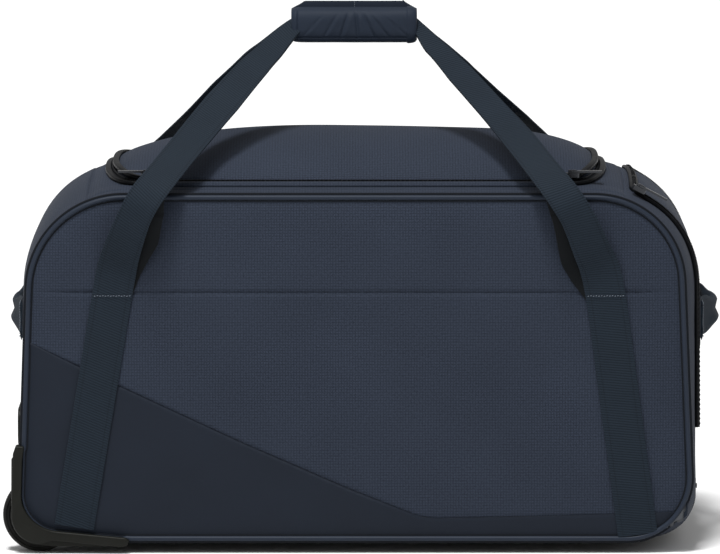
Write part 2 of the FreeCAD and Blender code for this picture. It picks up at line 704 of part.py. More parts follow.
def build():
    nodes = {}
    shell = gusset_shell()
    envelope = housing_envelope().fuse(wheel_well()).fuse(front_guard())
    cup = cup_block()
    shell = without(shell, envelope, mirrored(envelope), cup, foot_screws())
    cord = piping()

    nodes["left_end_panel"] = shell.common(box(-FAR, -END_SPLIT_X, -FAR, FAR, -FAR, FAR))
    nodes["right_end_panel"] = shell.common(box(END_SPLIT_X, FAR, -FAR, FAR, -FAR, FAR))
    middle = shell.common(box(-END_SPLIT_X, END_SPLIT_X, -FAR, FAR, -FAR, FAR))
    nodes["base_panel"] = middle.common(box(-FAR, FAR, -FAR, FAR, -FAR, 100))
    nodes["top_panel"] = middle.common(box(-FAR, FAR, -FAR, FAR, 100, FAR)).cut(plan_prism(0))

    panel = big_panel().cut(cord)
    front = {
        "front_panel": panel.cut(below_seam()),
        "front_lower_panel": panel.common(below_seam()),
        "front_piping": cord,
        "front_strap_left": sewn_strap(-247.5, -286.5, 31.0),
        "front_strap_right": sewn_strap(245.5, 275.5, 27.0).cut(cord),
        "front_wheel_housing": front_wheel_housing(),
        "front_axle": front_axle(),
        "front_wheel_tyre": front_wheel_tyre(),
        "front_wheel_hub": front_wheel_hub(),
        "front_wheel_bearings": front_wheel_bearings(),
        "front_handle": front_handle(),
    }
    front["front_grip_wrap"] = front_grip_wrap(front["front_handle"])
    screws = housing_screws()
    front["front_wheel_housing"] = front["front_wheel_housing"].cut(screws)
    for name, shape in front.items():
        nodes[name] = shape
        nodes[name.replace("front", "rear")] = mirrored(shape)
    nodes["housing_screws"] = screws

    board_z = TUBE_Z + 10
    nodes["base_board"] = box(BOARD_X0, BOARD_X1, -BOARD_HALF, BOARD_HALF, board_z, board_z + BOARD_T)
    nodes["lid_panel"] = lid_panel()
    nodes["lid_zipper_tape"] = lid_zipper_tape()
    nodes["bag_zipper_tape"] = bag_zipper_tape()
    nodes["end_pocket_panel"] = end_pocket_panel()
    nodes["end_pocket_zipper"] = end_pocket_zipper()
    nodes["kick_plate"] = kick_plate()
    nodes["skid_feet"] = skid_feet()
    nodes["foot_screws"] = foot_screws()

    nodes["left_handle_patches"] = grab_patches(-HALF_LENGTH)
    nodes["left_grab_handle"] = grab_handle(-HALF_LENGTH, LEFT_GRAB_X)
    nodes["right_handle_patches"] = grab_patches(HALF_LENGTH + POCKET_T)
    nodes["right_grab_handle"] = grab_handle(HALF_LENGTH + POCKET_T, RIGHT_GRAB_X)

    nodes["trolley_outer_tubes"] = tube_pair(OUTER_TUBE_R, TUBE_X0, CUP_WALL_X, OUTER_TUBE_BORE)
    nodes["trolley_inner_tubes"] = tube_pair(INNER_TUBE_R, TUBE_X0 + 23, PULL_X0 + 4, INNER_TUBE_BORE)
    nodes["trolley_cup"] = trolley_cup().cut(cup_screws())
    nodes["cup_screws"] = cup_screws()
    nodes["trolley_bracket"] = trolley_bracket()
    nodes["trolley_grip"] = trolley_grip()
    nodes["lock_rods"] = lock_rods()
    nodes["release_button"] = release_button()

    for side, x, towards in (("left", -SLIDER_X, -1), ("right", SLIDER_X, 1)):
        nodes[side + "_zip_slider"] = zip_slider(x, SLIDER_Y, SLIDER_Z)
        nodes[side + "_zip_puller"] = zip_puller(x, SLIDER_Y, SLIDER_Z, towards)
    top = CROWN_Z + POCKET_ZIP_T + POCKET_SLIDER_LIFT
    nodes["pocket_zip_slider"] = on_shoulder(zip_slider(SHOULDER_X, POCKET_SLIDER_Y, top))
    nodes["pocket_zip_puller"] = on_shoulder(zip_puller(SHOULDER_X, POCKET_SLIDER_Y, top, 1))
    return nodes


def main():
    os.makedirs("parts", exist_ok=True)
    for name, shape in sorted(build().items()):
        solids = shape.Solids
        volume = sum(s.Volume for s in solids)
        state = "ok" if shape.isValid() and solids else "BAD"
        bound = shape.BoundBox
        print(f"{name:24s} {state} solids {len(solids)} volume {volume / 1000:9.2f} cm3 "
              f"x {bound.XMin:7.1f} {bound.XMax:7.1f} y {bound.YMin:7.1f} {bound.YMax:7.1f} "
              f"z {bound.ZMin:6.1f} {bound.ZMax:6.1f}")
        Part.makeCompound(solids).exportStep("parts/" + name + ".step")


main()
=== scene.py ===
"""Rolling duffel bag: cloth, webbing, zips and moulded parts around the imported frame. Metres."""
import math

import bmesh
import bpy
import numpy as np
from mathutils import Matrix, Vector


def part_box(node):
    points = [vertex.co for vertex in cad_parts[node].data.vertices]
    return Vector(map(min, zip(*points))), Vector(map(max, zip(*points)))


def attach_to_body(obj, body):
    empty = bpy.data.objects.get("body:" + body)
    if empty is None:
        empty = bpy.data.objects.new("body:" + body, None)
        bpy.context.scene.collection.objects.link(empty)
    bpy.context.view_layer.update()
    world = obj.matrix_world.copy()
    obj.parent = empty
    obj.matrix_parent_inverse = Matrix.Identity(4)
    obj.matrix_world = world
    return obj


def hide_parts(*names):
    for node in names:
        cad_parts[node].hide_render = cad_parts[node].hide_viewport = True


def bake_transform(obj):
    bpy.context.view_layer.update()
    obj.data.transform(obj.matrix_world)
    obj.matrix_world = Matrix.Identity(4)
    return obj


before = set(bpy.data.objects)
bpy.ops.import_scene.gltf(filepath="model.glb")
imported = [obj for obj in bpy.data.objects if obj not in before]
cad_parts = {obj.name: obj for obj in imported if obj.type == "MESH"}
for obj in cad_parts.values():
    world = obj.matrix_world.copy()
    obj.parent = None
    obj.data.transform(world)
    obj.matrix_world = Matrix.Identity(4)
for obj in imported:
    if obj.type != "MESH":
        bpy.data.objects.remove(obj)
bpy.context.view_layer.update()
MM = 0.001
FRONT = -1
REAR = 1


# ---------------------------------------------------------------- shader maths
class Value:
    """A shader socket on which Python arithmetic adds Math nodes."""

    def __init__(self, shader, socket):
        self.shader = shader
        self.socket = socket

    def math(self, operation, *others, first=None):
        """One Math node: this value, or first where it is given, and then the others."""
        terms = [self if first is None else first, *others]
        return self.shader.add("ShaderNodeMath", {"operation": operation}, dict(enumerate(terms)))[0]

    def __add__(self, other):
        return self.math("ADD", other)

    def __sub__(self, other):
        return self.math("SUBTRACT", other)

    def __rsub__(self, other):
        return self.math("SUBTRACT", self, first=other)

    def __mul__(self, other):
        return self.math("MULTIPLY", other)

    def __pow__(self, other):
        return self.math("POWER", other)

    __radd__ = __add__
    __rmul__ = __mul__

    def sine(self):
        return self.math("SINE")

    def abs(self):
        return self.math("ABSOLUTE")

    def top(self, other):
        """The larger of the two."""
        return self.math("MAXIMUM", other)

    def ramp(self, start, end):
        """0 before start, 1 after end, straight between them."""
        settings = {"clamp": True}
        inputs = {"Value": self, "From Min": start, "From Max": end}
        return self.shader.add("ShaderNodeMapRange", settings, inputs)[0]

    def wave(self, period, sharpness=1.0):
        """Ridges from 0 to 1, one in every period."""
        ridge = (self * (math.pi / period)).sine().abs()
        return ridge if sharpness == 1.0 else ridge ** sharpness


class Outputs:
    """The outputs of one node, by name or number."""

    def __init__(self, shader, node):
        self.shader = shader
        self.node = node

    def __getitem__(self, key):
        return Value(self.shader, self.node.outputs[key])


class Shader:
    """One material and its nodes."""

    def __init__(self, name):
        self.material = bpy.data.materials.new(name)
        self.material.use_nodes = True
        self.nodes = self.material.node_tree.nodes
        self.links = self.material.node_tree.links
        self.nodes.clear()

    def add(self, kind, settings=None, inputs=None):
        """A node of a kind, its settings first and then the values or links of its sockets."""
        node = self.nodes.new(kind)
        for key, value in (settings or {}).items():
            setattr(node, key, value)
        for key, value in (inputs or {}).items():
            if isinstance(value, Value):
                self.links.new(value.socket, node.inputs[key])
            else:
                node.inputs[key].default_value = value
        return Outputs(self, node)

    def place(self):
        """Object coordinates, in metres."""
        return self.add("ShaderNodeTexCoord")["Object"]

    def thread(self):
        """The piece's own UV map, in metres: across and along the cloth."""
        vector = self.add("ShaderNodeTexCoord")["UV"]
        parts = self.add("ShaderNodeSeparateXYZ", None, {0: vector})
        return vector, parts[0], parts[1]

    def noise(self, vector, scale, detail=3.0, rough=0.5):
        """Uneven cloudy value, about scale clouds to the metre."""
        inputs = {"Vector": vector, "Scale": scale, "Detail": detail, "Roughness": rough}
        return self.add("ShaderNodeTexNoise", None, inputs)[0]

    def mix(self, factor, a, b):
        """Colour a where factor is 0, colour b where it is 1."""
        a = a if isinstance(a, Value) else (*a, 1.0)
        b = b if isinstance(b, Value) else (*b, 1.0)
        return self.add("ShaderNodeMix", {"data_type": "RGBA"}, {0: factor, 6: a, 7: b})[2]

    def finish(self, colour, roughness, height=None, depth=0.001, strength=1.0, **constants):
        """The surface itself: colour, roughness, relief from a height, and constants by socket name."""
        inputs = {"Base Color": colour if isinstance(colour, Value) else (*colour, 1.0)}
        inputs["Roughness"] = roughness
        for key, value in constants.items():
            inputs[key.replace("_", " ")] = value
        if height is not None:
            relief = {"Height": height, "Distance": depth, "Strength": strength}
            inputs["Normal"] = self.add("ShaderNodeBump", None, relief)[0]
        surface = self.add("ShaderNodeBsdfPrincipled", None, inputs)[0]
        self.add("ShaderNodeOutputMaterial", None, {"Surface": surface})
        return self.material


def times(colour, factor, lift=0.0):
    """A colour with each part scaled and lifted."""
    return tuple(part * factor + lift for part in colour)


# ---------------------------------------------------------------- materials
NAVY = (0.0150, 0.0200, 0.0318)
NAVY_LIGHT = (0.0222, 0.0288, 0.0442)
SMOOTH_NAVY = (0.0076, 0.0106, 0.0172)
WEB_NAVY = (0.0066, 0.0105, 0.0158)


def ripstop_cloth():
    """Plain weave with a thread grid every 2.8 mm, broken up by uneven yarn."""
    s = Shader("ripstop_cloth")
    vector, u, v = s.thread()
    drift = s.noise(vector, 60.0, 2.0) * 0.0008
    warp = (u + drift).wave(2.8 * MM, 5.0)
    weft = (v + drift).wave(2.8 * MM, 5.0)
    grid = warp.top(weft)
    yarn = s.noise(vector, 520.0, 2.0, 0.6)
    patches = s.noise(vector, 9.0, 4.0)
    flecks = s.noise(vector, 1300.0, 1.0)
    tone = (yarn * 0.50 + patches * 0.20 + flecks * 0.30 + (1.0 - grid) * 0.22).ramp(0.36, 0.86)
    colour = s.mix(tone, times(NAVY, 0.62), times(NAVY_LIGHT, 1.32))
    height = yarn * 0.55 + flecks * 0.3 - grid * 0.5
    return s.finish(colour, 0.84 - yarn * 0.10, height, 0.00022, 0.9,
                    Sheen_Weight=0.03, Sheen_Roughness=0.5, Specular_IOR_Level=0.10)


def smooth_cloth(name="smooth_cloth", base=SMOOTH_NAVY, gloss=0.62):
    """Tight coated cloth: a fine weave and a soft sheen."""
    s = Shader(name)
    vector, u, v = s.thread()
    weave = u.wave(0.8 * MM) * v.wave(0.8 * MM)
    patches = s.noise(vector, 14.0, 4.0)
    fine = s.noise(vector, 600.0, 2.0)
    colour = s.mix((patches * 0.6 + fine * 0.4).ramp(0.25, 0.8), base, times(base, 1.35))
    height = weave * 0.5 + fine * 0.4
    return s.finish(colour, patches * 0.12 + (gloss - 0.06), height, 0.00010, 0.8,
                    Sheen_Weight=0.015, Sheen_Roughness=0.45, Specular_IOR_Level=0.12)


def webbing_cloth():
    """Ribbed webbing: slanting ribs 2.6 mm apart, rolled edges and a sunk stitch line near each."""
    s = Shader("webbing_cloth")
    vector, u, v = s.thread()
    wobble = s.noise(vector, 26.0, 3.0)
    ribs = (v + u * 0.22 + wobble * 0.0012).wave(2.6 * MM, 0.7)
    threads = (u + v * 0.1).wave(1.1 * MM)
    line = (u.abs() - 0.0148).abs().ramp(0.0009, 0.0003)
    stitch = line * v.wave(3.4 * MM).ramp(0.35, 0.6)
    patches = s.noise(vector, 30.0, 4.0)
    fine = s.noise(vector, 700.0, 2.0)
    tone = (ribs * 0.50 + patches * 0.22 + fine * 0.28).ramp(0.2, 0.95)
    colour = s.mix(tone, times(WEB_NAVY, 0.80), times(WEB_NAVY, 1.95))
    colour = s.mix(line * 0.30, colour, times(WEB_NAVY, 0.5))
    height = ribs * 0.8 + threads * 0.15 + fine * 0.15 - line * 0.5 + stitch * 0.4
    return s.finish(colour, 0.80 - ribs * 0.10, height, 0.00042, 1.0,
                    Sheen_Weight=0.02, Sheen_Roughness=0.5, Specular_IOR_Level=0.10)


def plastic(name, base, rough=0.48, grain=0.00012, wear=0.0, shine=0.28):
    """Moulded plastic with a fine spark-eroded grain and faint handling marks."""
    s = Shader(name)
    vector = s.place()
    grainy = s.noise(vector, 1400.0, 2.0)
    clouds = s.noise(vector, 22.0, 4.0)
    scuffs = s.noise(s.add("ShaderNodeMapping", None, {0: vector, "Scale": (1.0, 1.0, 9.0)})[0], 60.0, 5.0)
    colour = s.mix((clouds * 0.7 + grainy * 0.3).ramp(0.3, 0.75), base, times(base, 1.45, 0.002))
    colour = s.mix(scuffs.ramp(0.62, 0.80) * wear, colour, times(base, 2.6, 0.01))
    rough_map = clouds * 0.12 + grainy * 0.10 + (rough - 0.10)
    return s.finish(colour, rough_map, grainy, grain, 0.7, Specular_IOR_Level=shine)


def metal(name, base, rough=0.32, along="X"):
    """Drawn or ground metal with fine lines along one axis."""
    s = Shader(name)
    vector = s.place()
    stretch = {"X": (8.0, 900.0, 900.0), "Y": (900.0, 8.0, 900.0)}[along]
    lines = s.noise(s.add("ShaderNodeMapping", None, {0: vector, "Scale": stretch})[0], 1.0, 3.0)
    clouds = s.noise(vector, 35.0, 3.0)
    colour = s.mix((lines * 0.6 + clouds * 0.4).ramp(0.3, 0.7), times(base, 0.86), base)
    return s.finish(colour, lines * 0.14 + (rough - 0.07), lines, 0.00004, 0.5, Metallic=1.0)


def rubber():
    """Wheel rubber: near black with pale dust in broad patches."""
    s = Shader("wheel_rubber")
    vector = s.place()
    fine = s.noise(vector, 900.0, 2.0)
    dust = s.noise(vector, 40.0, 5.0)
    colour = s.mix(dust.ramp(0.45, 0.75), (0.0060, 0.0060, 0.0055), (0.0140, 0.0138, 0.0125))
    return s.finish(colour, dust * 0.2 + 0.50, fine, 0.00015, 0.6, Specular_IOR_Level=0.15)


def zip_black():
    """Zip tape and coil: black with a fine weave."""
    s = Shader("zip_black")
    vector = s.place()
    weave = s.noise(vector, 1500.0, 2.0)
    broad = s.noise(vector, 60.0, 3.0)
    colour = s.mix(weave.ramp(0.3, 0.7), (0.0016, 0.0018, 0.0022), (0.0050, 0.0056, 0.0068))
    return s.finish(colour, broad * 0.15 + 0.34, weave, 0.00012, 0.8, Specular_IOR_Level=0.05)


def thread_grey():
    """Pale sewing thread."""
    s = Shader("tack_thread")
    vector = s.place()
    fine = s.noise(vector, 2500.0, 2.0)
    colour = s.mix(fine, (0.075, 0.092, 0.115), (0.15, 0.17, 0.20))
    return s.finish(colour, 0.6 + fine * 0.2, fine, 0.0001, 0.6)


RIPSTOP = ripstop_cloth()
SMOOTH = smooth_cloth()
SLEEVE = smooth_cloth("sleeve_cloth", (0.0108, 0.0158, 0.0262), 0.60)
PIPING = smooth_cloth("piping_cloth", (0.0135, 0.0185, 0.0290), 0.44)
# painted shadow: near-black cloth for the strip that stands for each strap's shadow on the panel
STRAP_SHADOW_CLOTH = smooth_cloth("strap_painted_shadow", (0.0022, 0.0030, 0.0040), 0.75)
# painted shade: near-black cloth for the strip that shows as dark lines either side of the piping cord
PIPING_SHADE_CLOTH = smooth_cloth("piping_painted_shade", (0.0030, 0.0042, 0.0066), 0.70)
LINING = smooth_cloth("lining_cloth", (0.045, 0.048, 0.053), 0.62)
BASE_CLOTH = smooth_cloth("base_cloth", (0.0050, 0.0062, 0.0090), 0.58)
WEBBING = webbing_cloth()
THREAD = thread_grey()
ZIP = zip_black()
GUARD = plastic("guard_plastic", (0.0048, 0.0051, 0.0038), 0.46, wear=0.10, shine=0.14)
TROLLEY = plastic("trolley_plastic", (0.0070, 0.0075, 0.0085), 0.46)
GRIP = plastic("grip_plastic", (0.0050, 0.0054, 0.0060), 0.58)
BUTTON = plastic("button_plastic", (0.040, 0.044, 0.050), 0.34)
HUB = plastic("hub_plastic", (0.010, 0.0105, 0.010), 0.42)
FOOT = plastic("foot_plastic", (0.0060, 0.0060, 0.0060), 0.50, wear=0.35)
RUBBER = rubber()
ALUMINIUM = metal("tube_aluminium", (0.60, 0.61, 0.63), 0.30)
STEEL = metal("bright_steel", (0.52, 0.52, 0.54), 0.28, "Y")
DARK_METAL = metal("gunmetal", (0.055, 0.058, 0.064), 0.26)
SCREW = metal("screw_black", (0.09, 0.09, 0.095), 0.36)


# ---------------------------------------------------------------- meshes
def piece(name, points, faces, material, uv=None, sharp=38.0):
    """A mesh object at the origin from point, face and UV arrays; faces are quads or triangles."""
    mesh = bpy.data.meshes.new(name)
    mesh.from_pydata(points.reshape(-1, 3).tolist(), [], [list(f) for f in faces])
    mesh.update()
    if uv is not None:
        loops = np.zeros(len(mesh.loops), np.int32)
        mesh.loops.foreach_get("vertex_index", loops)
        layer = mesh.uv_layers.new(name="UVMap")
        layer.data.foreach_set("uv", uv.reshape(-1, 2)[loops].astype(np.float32).ravel())
    mesh.materials.append(material)
    if wrong_way_out(mesh):
        mesh.flip_normals()
    mesh.shade_smooth()
    mesh.set_sharp_from_angle(angle=math.radians(sharp))
    obj = bpy.data.objects.new(name, mesh)
    bpy.context.scene.collection.objects.link(obj)
    return obj


def wrong_way_out(mesh):
    """True where the faces of a closed form, or of a sheet round the bag's middle, mostly look inward."""
    normal = np.zeros(3 * len(mesh.polygons))
    centre = np.zeros(3 * len(mesh.polygons))
    area = np.zeros(len(mesh.polygons))
    mesh.polygons.foreach_get("normal", normal)
    mesh.polygons.foreach_get("center", centre)
    mesh.polygons.foreach_get("area", area)
    outward = (normal.reshape(-1, 3) * (centre.reshape(-1, 3) - [0, 0, 0.2])).sum(1)
    return float((outward * area).sum()) < 0


def grid_faces(rows, columns, wrap_rows=False, wrap_columns=False):
    """Quads of a grid whose points are numbered row by row."""
    i = np.arange(rows if wrap_rows else rows - 1)
    j = np.arange(columns if wrap_columns else columns - 1)
    i, j = [a.ravel() for a in np.meshgrid(i, j, indexing="ij")]
    i2 = (i + 1) % rows
    j2 = (j + 1) % columns
    return np.stack([i * columns + j, i * columns + j2, i2 * columns + j2, i2 * columns + j], 1)


def arc_lengths(points):
    """Running length along the first axis of an array of points."""
    steps = np.linalg.norm(np.diff(points, axis=0), axis=-1)
    return np.concatenate([np.zeros((1, *steps.shape[1:])), np.cumsum(steps, 0)])


def cloth_uv(points):
    """UV in metres: running length along each direction of a grid of points."""
    u = arc_lengths(np.swapaxes(points, 0, 1)).T
    v = arc_lengths(points)
    return np.stack([u, v], -1)


def solidify(obj, thickness, inner=None):
    """Gives a sheet its wall, inward from its outer face, with its own lining where one is named."""
    wall = obj.modifiers.new("wall", "SOLIDIFY")
    wall.thickness = thickness
    wall.offset = -1.0
    wall.use_even_offset = False
    if inner is not None:
        obj.data.materials.append(inner)
        wall.material_offset = 1
        wall.material_offset_rim = 0
    return obj


def sheet(name, points, material, uv=None, wall=0.0, inner=None):
    """A grid of points as one sheet of cloth."""
    rows, columns = points.shape[:2]
    if uv is None:
        uv = cloth_uv(points)
    faces = grid_faces(rows, columns)
    obj = piece(name, points, faces, material, uv)
    return solidify(obj, wall, inner) if wall else obj


def cubic_path(points, count):
    """A Catmull-Rom curve through the points, evenly spaced along its length."""
    p = np.asarray(points, float)
    p = np.vstack([2 * p[0] - p[1], p, 2 * p[-1] - p[-2]])
    t = np.linspace(0, 1, 40, endpoint=False)[:, None]
    a, b, c, d = p[:-3, None], p[1:-2, None], p[2:-1, None], p[3:, None]
    curve = 2 * b + (c - a) * t + (2 * a - 5 * b + 4 * c - d) * t ** 2
    curve = 0.5 * (curve + (3 * b - a - 3 * c + d) * t ** 3)
    curve = np.vstack([curve.reshape(-1, p.shape[1]), p[-2]])
    return resample(curve, count)


def resample(curve, count):
    """The same line with count points evenly spaced along its length."""
    s = arc_lengths(curve)
    even = np.linspace(0, s[-1], count)
    return np.stack([np.interp(even, s, curve[:, k]) for k in range(curve.shape[1])], 1)


def unit(v):
    """Each vector divided by its length."""
    return v / np.maximum(np.linalg.norm(v, axis=-1, keepdims=True), 1e-12)


def frames(path, face, closed=False):
    """Across and facing directions along a path whose face looks roughly along face: across is the
    tangent crossed with face, and facing is across crossed with the tangent."""
    if closed:
        tangent = unit(np.roll(path, -1, 0) - np.roll(path, 1, 0))
    else:
        tangent = unit(np.gradient(path, axis=0))
    across = unit(np.cross(tangent, face))
    return across, unit(np.cross(across, tangent))


def fans(rings, around):
    """Triangles that close the first and last ring of a carried form, each on a point added after the
    rings."""
    j = np.arange(around)
    k = (j + 1) % around
    first = np.full(around, rings * around)
    last = (rings - 1) * around
    start = np.stack([first, k, j], 1)
    end = np.stack([first + 1, last + j, last + k], 1)
    return np.stack([start, end], 1).reshape(-1, 3).tolist()


def carried(name, path, face, profile, material, closed=False, scale=None, sharp=38.0):
    """A closed profile (across, outward) carried along a path; its open ends are closed with fans.
    Each ring is path + across * a + outward * n, times the scale there: one number, or one for a and
    one for n. UV is (a, length)."""
    path = np.asarray(path, float)
    face = np.broadcast_to(np.asarray(face, float), path.shape)
    across, outward = frames(path, face, closed)
    size = np.ones((len(path), 2)) if scale is None else np.asarray(scale).reshape(len(path), -1)
    a = profile[None, :, 0] * size[:, :1]
    n = profile[None, :, 1] * size[:, -1:]
    rings = path[:, None] + across[:, None] * a[..., None] + outward[:, None] * n[..., None]
    count, around = rings.shape[:2]
    s = arc_lengths(path)
    uv = np.stack([a, np.broadcast_to(s[:, None], (count, around))], -1)
    faces = grid_faces(count, around, wrap_rows=closed, wrap_columns=True).tolist()
    points = rings.reshape(-1, 3)
    uv = uv.reshape(-1, 2)
    if not closed:
        middles = np.stack([rings[0].mean(0), rings[-1].mean(0)])
        points = np.vstack([points, middles])
        uv = np.vstack([uv, [[0, 0], [0, s[-1]]]])
        faces += fans(count, around)
    return piece(name, points, faces, material, uv, sharp)


def strap_profile(width, thickness, count=32, corner=0.22):
    """Flat band with rounded edges: a squared ellipse."""
    t = np.linspace(0, 2 * math.pi, count, endpoint=False)
    a = np.sign(np.cos(t)) * np.abs(np.cos(t)) ** corner * width / 2
    n = np.sign(np.sin(t)) * np.abs(np.sin(t)) ** corner * thickness / 2
    return np.stack([a, n], 1)


def round_profile(radius, count=14):
    """A circle."""
    t = np.linspace(0, 2 * math.pi, count, endpoint=False)
    return np.stack([np.cos(t), np.sin(t)], 1) * radius


def lathe(name, profile, centre, material, count=96, sharp=32.0):
    """A profile of (distance from the axle, place along Y) turned round the Y direction."""
    turn = np.linspace(0, 2 * math.pi, count, endpoint=False)[:, None]
    r, y = profile[None, :, 0], profile[None, :, 1]
    x, z = centre[0] + r * np.cos(turn), centre[2] + r * np.sin(turn)
    points = np.stack([x, centre[1] + y + 0 * turn, z], -1)
    faces = grid_faces(count, len(profile), wrap_rows=True, wrap_columns=True)
    return piece(name, points, faces, material, cloth_uv(points), sharp)


def softened(node, material, width, segments=3, angle=32.0, shift=None):
    """A moulded part: the frame's own shape with its edges rounded over, moved by a shift if given."""
    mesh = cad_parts[node].data.copy()
    mesh.name = node + "_moulded"
    mesh.materials.clear()
    mesh.materials.append(material)
    obj = bpy.data.objects.new(node + "_moulded", mesh)
    bpy.context.scene.collection.objects.link(obj)
    work = bmesh.new()
    work.from_mesh(mesh)
    bmesh.ops.remove_doubles(work, verts=work.verts, dist=1e-5)
    bmesh.ops.dissolve_limit(work, angle_limit=math.radians(2), verts=work.verts, edges=work.edges)
    if shift is not None:
        bmesh.ops.translate(work, verts=work.verts, vec=shift)
    work.to_mesh(mesh)
    work.free()
    bevel = obj.modifiers.new("edges", "BEVEL")
    bevel.width = width
    bevel.segments = segments
    bevel.limit_method = "ANGLE"
    bevel.angle_limit = math.radians(angle)
    bevel.harden_normals = True
    mesh.shade_smooth()
    mesh.set_sharp_from_angle(angle=math.radians(angle))
    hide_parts(node)
    return obj


def attach(obj, body, slot, *nodes):
    """The piece rides a body and stands for the nodes named; slot is not used."""
    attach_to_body(obj, body)
    if nodes:
        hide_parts(*nodes)
    return obj


# ---------------------------------------------------------------- outlines
ARC = 26        # points on each rounded corner
SIDE = 40       # points on each side between two corners


def rounded_loop(corners):
    """Anticlockwise loop with the same number of points on each arc and each side, in metres."""
    corner = np.array(corners) * MM
    p = corner[:, :2]
    radius = corner[:, 2]
    out = unit(np.roll(p, -1, 0) - p)
    into = np.roll(out, 1, 0)
    turn = np.arctan2(into[:, 0] * out[:, 1] - into[:, 1] * out[:, 0], (into * out).sum(1))
    run = radius * np.tan(np.abs(turn) / 2)
    start = p - into * run[:, None]
    normal = np.stack([-into[:, 1], into[:, 0]], 1) * np.sign(turn)[:, None]
    centre = start + normal * radius[:, None]
    angle = turn[:, None] * np.linspace(0, 1, ARC)[None]
    c, s = np.cos(angle), np.sin(angle)
    nx, ny = -normal[:, :1] * radius[:, None], -normal[:, 1:] * radius[:, None]
    arc = np.stack([centre[:, :1] + nx * c - ny * s, centre[:, 1:] + nx * s + ny * c], -1)
    ends = arc[:, -1]
    nxt = np.roll(arc[:, 0], -1, 0)
    t = np.linspace(0, 1, SIDE + 2)[1:-1][None, :, None]
    side = ends[:, None] * (1 - t) + nxt[:, None] * t
    return np.concatenate([arc, side], 1).reshape(-1, 2)


SPAN = ARC + SIDE
# corners (x, z, radius) in millimetres: bottom left, where the base levels out, bottom right, top
# right, top left
FRONT_EDGE = rounded_loop([(-339.5, 25.5, 38), (-233, 15, 150), (333, 15, 62),
                           (318.5, 358.5, 88), (-328, 358.5, 95)])
MIDDLE = rounded_loop([(-340, 10, 41), (-233, 10, 41), (339.5, 10, 41),
                       (339, 377, 113), (-339.5, 377, 113)])
HALF_DEPTH = 0.178
TOP_POWER = 2.3     # how squarely the cloth turns from front to rear over the top
END_POWER = 6.5     # and over the ends and the base
CLOTH_WALL = 0.0022


def loop_at(loop, q):
    """Points of a closed loop at places q, counted in loop points."""
    q = np.asarray(q, float) % len(loop)
    i = np.floor(q).astype(int)
    f = (q - i)[..., None]
    return loop[i % len(loop)] * (1 - f) + loop[(i + 1) % len(loop)] * f


def gusset(q, t):
    """The cloth between the front and rear edges: at depth t (-1 front, 1 rear) the outline runs from
    the front edge's to the middle's by 1 - |t|^n. n is 2.3 on the top, 6.5 on the ends and base, and
    eases from one to the other round the shoulders."""
    q = np.asarray(q, float)
    q = q % len(FRONT_EDGE)
    on_top = np.clip((q - 3 * SPAN - 4) / 15, 0, 1) * np.clip((4 * SPAN + ARC - 4 - q) / 15, 0, 1)
    w = 1 - np.abs(t) ** (END_POWER - (END_POWER - TOP_POWER) * on_top * on_top * (3 - 2 * on_top))
    xz = loop_at(FRONT_EDGE, q) * (1 - w)[..., None] + loop_at(MIDDLE, q) * w[..., None]
    return np.stack([xz[..., 0], t * HALF_DEPTH, xz[..., 1]], -1)


def top_height(x, y):
    """Height of the top of the bag over a place in plan: the front edge's height there to the middle's
    by 1 - |depth|^2.3."""
    top = slice(3 * SPAN, 5 * SPAN)
    front, middle = FRONT_EDGE[top][::-1], MIDDLE[top][::-1]
    w = 1 - np.abs(np.clip(y / HALF_DEPTH, -1, 1)) ** TOP_POWER
    zf = np.interp(x, front[:, 0], front[:, 1])
    zm = np.interp(x, middle[:, 0], middle[:, 1])
    return zf * (1 - w) + zm * w


def edge_distance(x, z):
    """Distance in the front plane to the front panel's edge."""
    flat = np.stack([np.ravel(x), np.ravel(z)], 1)
    best = np.full(len(flat), 1.0)
    for start, end in zip(FRONT_EDGE, np.roll(FRONT_EDGE, -1, 0)):
        side = end - start
        along = np.clip((flat - start) @ side / (side @ side), 0, 1)
        best = np.minimum(best, np.linalg.norm(flat - start - along[:, None] * side, axis=1))
    return best.reshape(np.shape(x))


def ripple(x, z, seed):
    """Slow uneven waves between about -1 and 1: a sum of 14 sines, each its own way along."""
    rng = np.random.default_rng(seed)
    total = np.zeros(np.shape(x))
    for _ in range(14):
        kx, kz = rng.normal(0, 14, 2)
        total = total + rng.uniform(0.4, 1) * np.sin(kx * x * 2 + kz * z * 2 + rng.uniform(0, 6.3))
    return total / 5.0


# the slanting seam's places, and the height of the level seam
SEAM_X = np.array([-360, -329, -242, -120, -10, 58, 76, 185, 360]) * MM
SEAM_Z = np.array([226, 212, 170, 113, 65, 38, 35.5, 38, 43]) * MM
POCKET_Z = 0.2635


def seam_height(x):
    """The slanting seam between the ripstop and the smooth cloth."""
    return np.interp(x, SEAM_X, SEAM_Z)


def front_swell(x, z):
    """How far the front face stands out from its edge: a quick rise, then a slow crown, pulled in along
    the slanting seam and the pocket seam, with puckers beside them."""
    d = edge_distance(x, z)
    swell = 0.0050 * (1 - np.exp(-d / 0.011)) + 0.0045 * (1 - np.exp(-d / 0.09))
    soft = np.clip((d - 0.006) / 0.04, 0, 1)
    swell = swell + 0.0008 * ripple(x, z, 5) * (1 - np.exp(-d / 0.05)) * soft
    for line, strength in ((seam_height(x), 0.0016), (POCKET_Z + 0 * x, 0.0020)):
        gap = np.abs(z - line)
        swell = swell - strength * np.exp(-(gap / 0.0018) ** 2) * soft
        pucker = np.sin(x * 520 + 1.6 * np.sin(x * 61)) * np.exp(-gap / 0.006)
        swell = swell + 0.00022 * pucker * soft
    return swell


def front_y(x, z):
    """Where the front face lies: half the depth and the swell in front of the middle."""
    return -(HALF_DEPTH + 0.0002 + front_swell(x, z))


